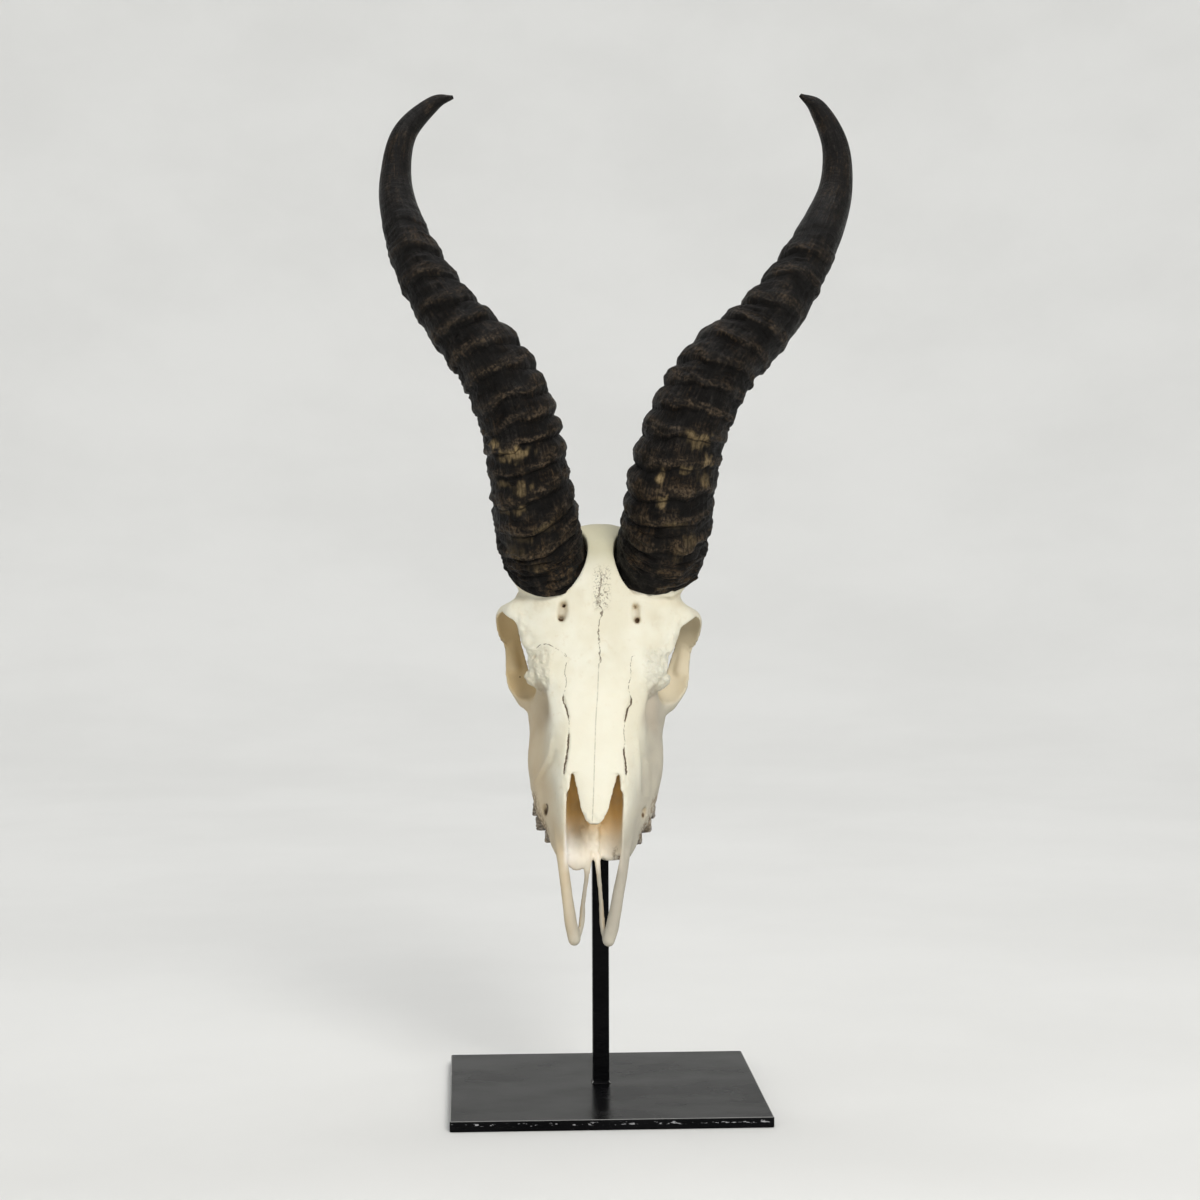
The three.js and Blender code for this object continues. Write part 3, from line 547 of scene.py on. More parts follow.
def skull_field():
    """The skull: the right half is joined and carved shape by shape and mirrored, and then come
    the palate's uneven fronts and the post's hole."""
    half = BoneField([stepped(stops) for stops in BONE_STEPS.values()])
    half.join(loft(MUZZLE_STATIONS), 0.5)
    half.join(limb(*TOOTH_CARRIER), 2)
    half.join(loft(BROW_STATIONS), 4)
    half.join(horn_foot(PEDICLE_SCALE, -FIT_GAP, -PEDICLE_DROP, PEDICLE_TAPER), 4)
    for centre, size in BRAIN_BALLS:
        half.join(ball(centre, size), 6)
    for centre, size in SMALL_BALLS:
        half.join(ball(centre, size), 2.5)
    half.join(limb(*SOCKET_BAR), 4)
    half.join(limb(*SOCKET_WALL), 4)
    half.carve(merged([ball(*hollow) for hollow in HOLLOWS[:SOCKET_HOLLOWS]], 8), 1.6)
    for hollow in HOLLOWS[SOCKET_HOLLOWS:]:
        half.carve(ball(*hollow), 1.5)
    half.carve(loft(CAVITY_STATIONS), 0.8)
    half.join(limb(*BROW_EDGE), 2.5)
    half.join(ball(*TEAR_KNOB), 1.5)
    half.join(limb(*VOMER), 2.5)
    half.join(loft(NASAL_STATIONS), 0.6)
    half.join(limb(*KEEL), 3)
    for path, radii in SLIM_LIMBS:
        half.join(limb(path, radii), 1.6)
    half.carve(ball(*NECK_HOLE), 1.5)
    half.carve(horn_foot(HORN_SEAT_SCALE, 30, -FIT_GAP), 0.3)
    for _, (x, y, z), length, width in TEETH:
        reach = (TOOTH_CROWN + TOOTH_ROOT + FIT_GAP) / 2 + 2
        centre = (x, y - TOOTH_ROOT - FIT_GAP + reach, z)
        half.carve(box(centre, (width / 2 + FIT_GAP, reach, length / 2 + 0.1)), 0.3)
    whole = half.mirrored()
    for centre, size in PALATE_FRONTS:
        whole.join(ball(centre, size), 2.6)
    whole.carve(post_hole(), 0.3)
    return whole


def surface_of(field):
    """Surface nets: every cell that the surface crosses gets one point, the mean of the crossings
    on its edges, and every crossed grid edge gets one face between its four cells."""
    value = field.value
    inside = value < 0
    corners = np.zeros([n - 1 for n in value.shape], np.int8)
    wide, deep, tall = corners.shape
    for dx, dy, dz in CORNERS:
        corners += inside[dx:wide + dx, dy:deep + dy, dz:tall + dz]
    active = (corners > 0) & (corners < 8)
    count = int(active.sum())
    number = np.full(corners.shape, -1, np.int64)
    number[active] = np.arange(count)
    total = np.zeros((count, 3))
    hits = np.zeros(count)
    faces = []
    for axis in range(3):
        low = [slice(None)] * 3
        high = [slice(None)] * 3
        low[axis] = slice(None, -1)
        high[axis] = slice(1, None)
        crossed = np.argwhere(inside[tuple(low)] != inside[tuple(high)])
        a = value[tuple(low)][tuple(crossed.T)].astype(float)
        b = value[tuple(high)][tuple(crossed.T)].astype(float)
        where = crossed.astype(float)
        where[:, axis] += a / (a - b)
        u, v = (axis + 1) % 3, (axis + 2) % 3
        around = []
        for du, dv in ((0, 0), (-1, 0), (-1, -1), (0, -1)):
            cell = crossed.copy()
            cell[:, u] += du
            cell[:, v] += dv
            around.append(number[tuple(cell.T)])
        for cells in around:
            hits += np.bincount(cells, minlength=count)
            for k in range(3):
                total[:, k] += np.bincount(cells, where[:, k], count)
        quads = np.stack(around, -1)
        outward = a < 0
        faces.append(np.where(outward[:, None], quads, quads[:, ::-1]))
    place = total / hits[:, None]
    points = np.stack([np.interp(place[:, k], np.arange(len(axis)), axis)
                       for k, axis in enumerate(field.axes)], -1)
    return points, np.concatenate(faces)


def sampled(field, points):
    """The field's value and slope at points, from the eight grid corners round each."""
    cell = np.stack([np.clip(np.searchsorted(axis, points[:, k], side="right") - 1, 0, len(axis) - 2)
                     for k, axis in enumerate(field.axes)], -1)
    low = np.stack([axis[cell[:, k]] for k, axis in enumerate(field.axes)], -1)
    span = np.stack([axis[cell[:, k] + 1] for k, axis in enumerate(field.axes)], -1) - low
    f = (points - low) / span
    corner = {}
    for dx, dy, dz in CORNERS:
        near = field.value[cell[:, 0] + dx, cell[:, 1] + dy, cell[:, 2] + dz]
        corner[dx, dy, dz] = near.astype(float)
    weight = [(1 - f[:, k], f[:, k]) for k in range(3)]
    value = sum(weight[0][i] * weight[1][j] * weight[2][k] * c for (i, j, k), c in corner.items())
    slope = np.zeros_like(points)
    sign = (-1, 1)
    for (i, j, k), c in corner.items():
        slope[:, 0] += sign[i] * weight[1][j] * weight[2][k] * c
        slope[:, 1] += sign[j] * weight[0][i] * weight[2][k] * c
        slope[:, 2] += sign[k] * weight[0][i] * weight[1][j] * c
    return value, slope / span


def relaxed(field, points, faces, rounds):
    """Moves each point to the mean of its neighbours and back on to the surface, some times over."""
    a = faces.ravel()
    b = np.roll(faces, -1, axis=1).ravel()
    ends = np.concatenate([a, b])
    others = np.concatenate([b, a])
    count = np.bincount(ends, minlength=len(points))[:, None]
    for _ in range(rounds):
        mean = np.stack([np.bincount(ends, points[others, k], len(points)) for k in range(3)], -1) / count
        points = points + 0.6 * (mean - points)
        value, slope = sampled(field, points)
        steep = np.maximum((slope**2).sum(-1), 0.05)
        shift = np.clip(value / steep, -1, 1)
        points = points - shift[:, None] * slope
    return points


def outward_normals(points, faces):
    """The mean of the crossed diagonals of the faces round each point."""
    across = np.cross(points[faces[:, 2]] - points[faces[:, 0]], points[faces[:, 3]] - points[faces[:, 1]])
    total = np.zeros_like(points)
    for k in range(3):
        for side in range(4):
            total[:, k] += np.bincount(faces[:, side], across[:, k], len(points))
    return total / (np.sqrt((total**2).sum(-1)) + 1e-12)[:, None]


# lines where bones meet, in the head's frame: (height, place to the right of the middle).
CRACKS = {
    "left": [(73, -14.6), (76, -14.5), (80.5, -13.7), (86, -13.1), (91, -12.9), (96, -12.8), (100.5, -13.4),
             (105.7, -15.0), (109, -15.9), (112, -15.2), (116.5, -14.6), (120.3, -15.4), (126.5, -14.7),
             (130, -16.8)],
    "right": [(73.5, 14.3), (77, 14.0), (80.5, 13.6), (85, 12.9), (88.6, 13.3), (92, 12.8), (97.4, 13.0),
              (101, 13.6), (104.6, 14.3), (108, 15.9), (111.4, 15.0), (115, 14.5), (119.5, 15.5),
              (124.8, 15.3), (129.3, 16.7)],
}
OPEN_CRACKS = {"left": ((73, 92), (99, 110)), "right": ((73, 86), (98, 110))}
MIDDLE_SEAM = [(52, -1.0), (66, -0.7), (80, -0.6), (91, -0.5), (99.5, -0.4), (110, 0.1), (124.5, 0.4),
               (126, 1.2), (130, 0.9), (133.5, 0.7), (138, 0.3), (141.7, -0.2), (145.5, 0.5), (148.5, 1.2),
               (151.6, 0.8), (155, -0.6), (162, 0.4), (170, 0.6)]
TEAR_SEAM = [(-29, 133), (-26.5, 134.4), (-24, 134.2), (-20.5, 132.4), (-17, 130.2), (-15, 127)]
# small holes painted dark as shade, and the soft painted shade round them: (centre, half sizes)
DARK_HOLES = [((-16.6, 0, 152.9), (0.85, 7, 1.0)), ((-18.0, 0, 146.2), (1.2, 7, 1.0)),
              ((18.0, 0, 146.9), (1.1, 7, 1.1)), ((-22.8, 28, 61.6), (1.5, 7, 2.5)),
              ((23.0, 28, 61.0), (0.9, 7, 1.8)), ((-37.2, 37, 129.2), (0.35, 7, 0.45)),
              ((-30.8, 12, 114.6), (0.9, 5, 0.8))]
BROW_SHADES = [((-16.9, 0, 149.8), (3.6, 7, 5.9)), ((-18.0, 0, 146.8), (2.1, 7, 2.1)),
               ((17.9, 0, 150.2), (1.9, 7, 4.8)), ((17.9, 0, 147.6), (1.9, 7, 2.4))]
# soft painted shade over shallow dips of the brow: (centre, half sizes)
BROW_DIP_SHADES = [((-29, 0, 151), (5, 9, 8)), ((27, 0, 147), (5, 9, 8)), ((-9, 0, 157), (3, 9, 7))]
# low ridges on the sides of the face: (places and heights, rise, width)
FACE_RIDGES = [([(-28, 75.5), (-24.6, 79.5), (-21.6, 84), (-20.8, 90)], 0.8, 1.1),
               ([(-23.6, 78), (-21.2, 80.5), (-19.6, 84)], -0.7, 1.6),
               ([(19.2, 90), (19.6, 83), (20.4, 77), (20.6, 70)], 0.7, 1.2),
               ([(24.8, 83), (25.4, 76), (24.6, 69)], 0.6, 1.3),
               ([(22.4, 84), (22.8, 77), (22.4, 70)], -0.5, 1.4)]


def chain_distance(points, path):
    """How far flat points lie from the nearest of a chain of straight pieces."""
    path = np.array(path, float)
    nearest = np.full(len(points), 1e3)
    for start, end in zip(path, path[1:]):
        along = end - start
        share = np.clip((points - start) @ along / (along @ along), 0, 1)
        nearest = np.minimum(nearest, np.sqrt(((points - start - share[:, None] * along) ** 2).sum(-1)))
    return nearest


def line_distance(points, line):
    """How far each point lies to the side of a line over the face, seen from the front."""
    heights, places = zip(*line)
    return np.abs(points[:, 0] - np.interp(points[:, 2], heights, places))


def bone_relief(points, normals):
    """How far each point of the bone moves along its normal: broad unevenness, then fine grain,
    rough where the bones meet round the tear pits and at the sockets' front edges, less the open
    cracks beside the nose bones and the pits along the middle."""
    x = np.abs(points[:, 0])
    y = points[:, 1]
    z = points[:, 2]
    facing = np.clip(-normals[:, 1], 0, 1)
    front = (y < 14) * facing
    relief = 0.22 * noise(points, 14, 11) + 0.12 * noise(points, 5, 12) + 0.05 * noise(points, 2.2, 13)
    for side, spans in OPEN_CRACKS.items():
        gap = line_distance(points, CRACKS[side])
        for low, high in spans:
            along = window(z, low - 1.5, low + 1.5, high - 2, high + 1)
            relief = relief - 1.1 * np.exp(-((gap / 0.5) ** 2)) * front * along
    pitted = np.exp(-(((points[:, 0] - 0.6) / 4) ** 2)) * window(z, 150, 156, 166, 173)
    relief = relief - 0.9 * np.maximum(noise(points, 1.5, 31) - 0.25, 0) * pitted * front
    edge_heights = [point[2] for point in BROW_EDGE[0]][::-1]
    edge_places = [point[0] for point in BROW_EDGE[0]][::-1]
    off_edge = x - np.interp(z, edge_heights, edge_places) - 1.5
    torn = np.exp(-((off_edge / 2.6) ** 2)) * window(z, 114, 119, 149, 154) * (y < 17)
    relief = relief + torn * (0.75 * noise(points, 2.3, 41) + 0.35 * noise(points, 1.2, 42))
    crusty = window(x, 21, 25, 35, 38) * window(z, 111, 115, 131, 135) * (y < 18)
    relief = relief + crusty * (0.7 * noise(points, 3.0, 43) + 0.5 * noise(points, 1.5, 44))
    flake = np.exp(-(((points[:, 0] - 32) / 4) ** 4) - ((z - 160.2) / 1.8) ** 4) * (y < 14)
    relief = relief + flake * (1.1 + 0.9 * noise(points, 1.8, 45))
    nose_rim = np.exp(-(((x - 13.5) / 1.6) ** 2)) * (y < 12) * window(z, 60, 64, 74, 77)
    nose_rim = nose_rim + (x < 6) * (z < 56) * (y < 12) * (z > 48)
    relief = relief + 0.5 * noise(points, 1.6, 46) * nose_rim
    rough_vomer = (x < 6) * smoothstep(y, 26, 30) * window(z, 38, 42, 58, 64)
    relief = relief + rough_vomer * (0.8 * noise(points, 2.6, 48) + 0.4 * noise(points, 1.3, 49))
    cheek = window(y, 8, 14, 34, 40) * smoothstep(x, 14, 19) * window(z, 50, 62, 96, 106)
    relief = relief + 0.6 * cheek * noise(points * (1, 1, 0.8), 9, 50)
    ribbed = (points[:, 0] < -1.5) * (x < 13) * smoothstep(y, 31, 34) * (1 - smoothstep(z, 50, 57))
    relief = relief + 0.3 * noise(points * (1, 1, 0.12), 1.3, 51) * ribbed
    for path, rise, width in FACE_RIDGES:
        gap = chain_distance(points[:, [0, 2]], path)
        relief = relief + rise * np.exp(-((gap / width) ** 2)) * (y < 38)
    gum = smoothstep(y, 41, 44) * smoothstep(x, 14, 17) * window(z, 46, 52, 112, 116)
    relief = relief + 0.5 * noise(points, 2.1, 47) * gum
    return relief


def make_skull():
    """The bone's surface from the field, with its relief, and three point attributes for its
    colour: inside the nose, sheltered by other bone (where shade is painted), and inside an eye socket."""
    field = skull_field()
    points, faces = surface_of(field)
    points = relaxed(field, points, faces, RELAX_ROUNDS)
    normals = outward_normals(points, faces)
    points = points + bone_relief(points, normals)[:, None] * normals
    inner = smoothstep(points[:, 1], 9, 20) * (1 - smoothstep(np.abs(points[:, 0]), 12.6, 14.4))
    inner = inner * smoothstep(points[:, 2], 30, 42) * (points[:, 2] < 112) * (points[:, 1] < 42)
    # sheltered places have other bone close in front of them, and the bone's colour paints tan shade there
    open_depth = np.minimum(*(sampled(field, points + look * normals)[0] / look for look in SHELTER_LOOKS))
    shelter = 1 - np.clip(open_depth, 0, 1)
    centre = np.array(HOLLOWS[0][0])
    mirror = np.where(points[:, :1] < 0, (-1, 1, 1), (1, 1, 1))
    to_centre = centre - points * mirror
    reach = np.sqrt((to_centre**2).sum(-1))
    toward = (to_centre * (normals * mirror)).sum(-1) / (reach + 1e-6)
    socket = smoothstep(toward, 0.1, 0.5) * (1 - smoothstep(reach, 20, 26)) * smoothstep(points[:, 1], 8, 14)
    triangles = np.concatenate([faces[:, [0, 1, 2]], faces[:, [0, 2, 3]]])
    attributes = {"inner": inner, "shelter": shelter, "socket": socket}
    return mesh_object("skull_bone", to_model(points), triangles, attributes)


# ---- Horns --------------------------------------------------------------------------------------
def horn_frame(horn, distance):
    """Centre, side and back vectors and the half width at distances along the horn, and its length."""
    fine = np.linspace(0, 1, 3000)
    curve = spline(horn["line"], fine)
    travelled = np.concatenate([[0], np.cumsum(np.sqrt((np.diff(curve, axis=0) ** 2).sum(-1)))])
    t = np.interp(distance, travelled, fine)
    centre = spline(horn["line"], t)
    step = 1e-4
    along = spline(horn["line"], np.minimum(t + step, 1)) - spline(horn["line"], np.maximum(t - step, 0))
    along /= np.sqrt((along**2).sum(-1))[:, None]
    side = np.array([1.0, 0, 0]) - along * along[:, :1]
    side /= np.sqrt((side**2).sum(-1))[:, None]
    back = np.cross(along, side)
    half = spline(np.array(horn["half_width"])[:, None], t)[:, 0]
    return centre, side, back, half, travelled[-1]


def horn_length(horn):
    """The length of the horn's centre curve."""
    return horn_frame(horn, np.array([0.0]))[-1]


def squeezed(points, across, along):
    """Points in the horn's own straight frame, scaled across the horn and replaced along it."""
    return np.stack([points[..., 0] * across, points[..., 1] * across, along], -1)


def ring_profile(phase, inner, second):
    """The rise of one ring from one groove to the next: a round lobe on the horn's inner side, and
    elsewhere a steep step up to a narrow crest, a long slope down and sometimes a second crest."""
    lobe = np.sin(np.pi * phase**1.1) ** 0.7
    crest = smoothstep(phase, 0.02, 0.2) * (1 - 0.85 * smoothstep(phase, 0.3, 0.72))
    crest = crest + second * np.exp(-(((phase - 0.72) / 0.1) ** 2))
    share = smoothstep(inner, 0.62, 0.97)
    return crest * (1 - share) + lobe * share


def make_horn(name, seed):
    """A horn: rings of points round a centre line. The radius is an oval that tapers to the tip,
    plus a ring between each two grooves, plus growth lines, lengthwise fibres and a frayed rim."""
    horn = HORNS[name]
    inward = horn["inward"]
    length = horn_length(horn)
    # close rows at the foot, then more rows low down than at the tip
    edges = np.array(horn["ring_edges"], float)
    low = edges[0]
    share = np.linspace(0, 1, HORN_ROWS)
    above = low + (length - low) * (1 - (1 - share) ** 1.08)
    distance = np.concatenate([np.linspace(0, low, FOOT_ROWS, endpoint=False), above])
    centre, side, back, half, _ = horn_frame(horn, distance)
    angle = 2 * np.pi * np.arange(HORN_SIDES) / HORN_SIDES
    s = distance[:, None] + np.zeros_like(angle)[None]
    inner = 0.5 + 0.5 * inward * np.cos(angle)[None] + np.zeros_like(s)
    straight = np.stack([half[:, None] * np.cos(angle), half[:, None] * np.sin(angle), s], -1)

    # each ring slopes across the horn and wanders, so that its line is never a clean circle
    slope = np.interp(distance, *zip(*horn["ring_slope"])) * half
    waves = 2.4 * noise(straight * (1, 1, 0.45), 12, seed)
    waves = waves + 1.1 * noise(straight * (1, 1, 0.8), 4.6, seed + 1)
    waves = waves * (1 - 0.65 * smoothstep(inner, 0.6, 0.95))
    shift = slope[:, None] * (1 - inner) + waves * smoothstep(s, 6, 26)
    place = np.interp(s + shift, edges, np.arange(len(edges)))
    phase = place - np.floor(place)
    second = 0.5 * smoothstep(noise(straight * (1, 1, 0.25), 9, seed + 6), 0.0, 0.5)
    arch = ring_profile(phase, inner, second)
    ringed = 1 - smoothstep(s, 168, 205)
    patchy = 0.8 + 0.5 * noise(straight * (1, 1, 0.8), 8, seed + 2)
    strength = RING_RELIEF * smoothstep(s, 3, 26) * (1 - smoothstep(s, 160, 205))
    swell = strength * patchy * (arch - 0.55) * (0.42 + 0.58 * inner)

    # old rims stacked at the base, finer growth lines above them, and fibres that run lengthwise
    growth = noise(squeezed(straight, 0.2, s + 0.5 * shift), 1.7, seed + 3)
    layered = 1 - smoothstep(s, 14, 40)
    swell = swell + (0.28 + 0.3 * layered) * growth * ringed
    rims = noise(squeezed(straight, 0.16, s), 1.3, seed + 9)
    swell = swell + 1.15 * layered * rims
    cracked = noise(straight * (1, 1, 1.3), 2.4, seed + 7)
    swell = swell + 0.45 * cracked * ringed * (1 - 0.4 * smoothstep(s, 70, 150))
    ledges = 0.5 - np.abs(noise(squeezed(straight, 0.45, s + shift), 3.4, seed + 11))
    swell = swell + 1.1 * ledges * ringed * smoothstep(s, 2, 12) * (1 - 0.6 * smoothstep(inner, 0.7, 0.95))
    fibres = noise(squeezed(straight, 1, s * 0.07), 1.15, seed + 4)
    swell = swell + (0.04 + 0.2 * ringed) * fibres * smoothstep(half, 1.5, 6)[:, None]
    frayed = 1 - smoothstep(s, 1, 12)
    swell = swell + 0.7 * frayed * noise(straight * (1, 1, 1.6), 2.6, seed + 5)

    deep_ratio = HORN_DEPTH_AT_BASE + (HORN_DEPTH_AT_TIP - HORN_DEPTH_AT_BASE) * distance / length
    wide = half[:, None] + swell
    deep = (half * deep_ratio)[:, None] + swell
    rings = (centre[:, None] + side[:, None] * (wide * np.cos(angle))[..., None]
             + back[:, None] * (deep * np.sin(angle))[..., None])

    # the foot turns from the oblique base rim to square sections over the first ring
    rim_wide = horn["half_width"][0]
    rim_depth = np.where(np.sin(angle) < 0, horn["rim_front"], HORN_DEPTH_AT_BASE)
    rim_back = rim_wide * rim_depth * np.sin(angle) + horn["rim_rise"] * np.cos(angle)
    rim = (np.array(horn["line"][0]) + np.array([1.0, 0, 0]) * (rim_wide * np.cos(angle))[:, None]
           + HORN_BASE_BACK * rim_back[:, None])
    first = FOOT_ROWS
    mix = (distance[:first] / low)[:, None, None]
    spread = (rim - np.array(horn["line"][0])) / rim_wide
    uneven = (swell[:first] - swell[first] * mix[..., 0]) * smoothstep(mix[..., 0], -0.1, 0.2)
    rings[:first] = rim * (1 - mix) + rings[first] * mix + spread * uneven[..., None]

    worn = np.zeros_like(s)
    ragged = 0.7 * noise(straight * (1, 1, 0.6), 1.4, seed + 8)
    for at, degrees, tall, wide_half, most in WORN_SPOTS[name]:
        off = (angle - math.radians(degrees))[None] * half[:, None]
        spot = np.hypot((s - at) / tall, off / wide_half) + ragged
        worn = np.maximum(worn, most * (1 - smoothstep(spot, 0.2, 1.2)))
    # how far a place stands out of its groove, for the colour; the stacked rims have no groove
    crest = np.clip(arch, 0, 1) * smoothstep(s, 4, 22) + (0.45 + 0.5 * rims) * (1 - smoothstep(s, 4, 22))
    attributes = {"grain": straight, "crest": crest * ringed, "travel": s / length, "worn": worn}
    return closed_skin(f"{name}_sheath", rings, attributes)


# ---- Teeth --------------------------------------------------------------------------------------
def make_tooth(name, root, length, width, side, seed):
    """A cheek tooth: square rings with rounded corners rise from the root; the crown's outer side
    ends in two cusps and its grinding face dips between them."""
    angle = 2 * np.pi * (np.arange(TOOTH_SIDES) + 0.5) / TOOTH_SIDES
    level = np.linspace(0, 1, TOOTH_ROWS)[:, None]
    across = np.sign(np.cos(angle)) * np.abs(np.cos(angle)) ** TOOTH_SQUARENESS
    ahead = np.sign(np.sin(angle)) * np.abs(np.sin(angle)) ** TOOTH_SQUARENESS
    taper = 0.8 + 0.2 * smoothstep(level, 0, 0.5) - 0.1 * smoothstep(level, 0.72, 1)
    fluted = 1 - 0.1 * np.cos(ahead * np.pi) * (across > 0) * smoothstep(level, 0.1, 0.5) * 0.6
    x = (width / 2) * taper * across * fluted
    z = (length / 2 - TOOTH_SPACING_GAP) * taper * ahead
    rise = CUSP_RISE * (0.5 - 0.5 * np.cos(2 * np.pi * (ahead + 1) / 2)) * (0.5 + 0.5 * across)
    y = -TOOTH_ROOT + (TOOTH_ROOT + TOOTH_CROWN) * level + rise * smoothstep(level, 0.5, 1)
    rings = np.stack([x + 0 * y, y, z + 0 * y], -1)
    chew = np.linspace(1, 0.25, CHEW_ROWS + 1)[1:, None]
    top = rings[-1]
    middle = top.mean(0)
    inner_rows = middle + (top - middle) * chew[..., None]
    inner_rows[..., 1] -= 0.9 * np.sin(np.pi * chew) * (0.6 + 0.4 * np.cos(3 * ahead))
    rings = np.concatenate([rings, inner_rows])
    rings = rings * (side, 1, 1) + np.array(root) * (side, 1, 1)
    rings = rings + (0.45 * noise(rings, 2.2, seed) + 0.4 * noise(rings, 1.1, seed + 50))[..., None]
    height = np.repeat(np.concatenate([level, np.ones((CHEW_ROWS, 1))]), TOOTH_SIDES, axis=1)
    return closed_skin(f"tooth_{name}", rings, {"height": height})


# ---- Stand --------------------------------------------------------------------------------------
def rounded_square(half, radius, per_corner):
    """A square outline with quarter-circle corners, anticlockwise."""
    corner = np.linspace(0, np.pi / 2, per_corner)
    points = []
    for k, (sx, sy) in enumerate(((1, 1), (-1, 1), (-1, -1), (1, -1))):
        turn = corner + k * np.pi / 2
        points.append(np.stack([sx * (half - radius) + radius * np.cos(turn),
                                sy * (half - radius) + radius * np.sin(turn)], -1))
    return np.concatenate(points)


def stacked(name, outlines, heights):
    """A closed stack of flat outlines in millimetres, with a fan of faces at each end."""
    rings = np.concatenate([outlines, heights[:, None, None] + 0 * outlines[..., :1]], -1)
    rows, sides, _ = rings.shape
    return mesh_object(name, with_middles(rings) * MM, capped_faces(rows, sides), smooth=False)


def make_post():
    """The square bar, as a stack of squares with rounded corners."""
    heights = np.array([height for height, _ in POST_PROFILE]) + PLATE_THICKNESS
    outlines = np.stack([rounded_square(POST_SIDE / 2 + grow, POST_CORNER, 6) for _, grow in POST_PROFILE])
    return stacked("post_bar", outlines + np.array(POST_CENTRE), heights)


def make_plate():
    """The square plate, as a stack of squares with rounded corners and a thin bevel."""
    half = PLATE_SIDE / 2
    outlines = np.stack([rounded_square(half - inset, PLATE_CORNER, 5) for inset, _ in PLATE_PROFILE])
    return stacked("plate_slab", outlines, np.array([height for _, height in PLATE_PROFILE]))


# ---- Materials ----------------------------------------------------------------------------------
# linear red, green and blue
PATCH_IVORY = (0.70, 0.66, 0.52)
PALE_IVORY = (0.77, 0.75, 0.63)
FLECK_TAN = (0.62, 0.54, 0.38)
VAULT_BONE = (0.46, 0.43, 0.285)
NOSE_BONE = (0.80, 0.77, 0.64)
# painted shade on the sides of the face: greyish on the right, tan on the left
RIGHT_SIDE_SHADE = (0.38, 0.345, 0.28)
LEFT_SIDE_TAN_SHADE = (0.53, 0.415, 0.26)
# painted shade in the tear pits, browner and darker on the left
RIGHT_PIT_SHADE = (0.46, 0.39, 0.30)
LEFT_PIT_SHADE = (0.40, 0.31, 0.20)
# painted tan shade where other bone shelters the surface
SHELTER_SHADE_TAN = (0.50, 0.38, 0.22)
RIGHT_SOCKET_BONE = (0.65, 0.57, 0.41)
LEFT_SOCKET_BONE = (0.66, 0.52, 0.30)
RIGHT_PALATE = (0.83, 0.76, 0.63)
LEFT_PALATE = (0.93, 0.91, 0.87)
NOSE_OCHRE = (0.84, 0.55, 0.21)
GUM_STAIN = (0.20, 0.14, 0.085)
NOSE_TIP_STAIN = (0.16, 0.10, 0.05)
SEAM_BROWN = (0.075, 0.045, 0.022)
# soft painted shade in the shallow dips of the brow
DIP_SHADE_TAN = (0.52, 0.45, 0.32)
SHADE_BROWN = (0.34, 0.27, 0.18)
# painted shade inside small holes
HOLE_SHADE_BROWN = (0.10, 0.06, 0.03)
SLOPE_BLACK = (0.0032, 0.0027, 0.0023)
SLATE_FIBRE = (0.027, 0.0238, 0.021)
BROWN_FIBRE = (0.047, 0.031, 0.0175)
WORN_FRONT = (0.085, 0.055, 0.028)
# paler tan of the ring crests with a painted highlight
CREST_TAN_HIGHLIGHT = (0.115, 0.083, 0.053)
WORN_AMBER = (0.40, 0.29, 0.145)
# painted black shade in the horn's grooves
GROOVE_SHADE_BLACK = (0.003, 0.0026, 0.0022)
TOOTH_BROWN = (0.06, 0.042, 0.03)
ENAMEL = (0.33, 0.27, 0.195)
GUM_LINE_TAN = (0.30, 0.25, 0.18)
STEEL_BLACK = (0.002, 0.002, 0.0024)
STEEL_CLOUD = (0.0045, 0.0045, 0.005)
# painted highlight on the plate's thin bevel
BEVEL_HIGHLIGHT = (0.30, 0.30, 0.29)
# painted glints along the plate's front edge
PAINTED_GLINT = (0.34, 0.34, 0.35)
PAPER_LOW = (0.72, 0.72, 0.70)
PAPER_HIGH = (0.76, 0.76, 0.74)


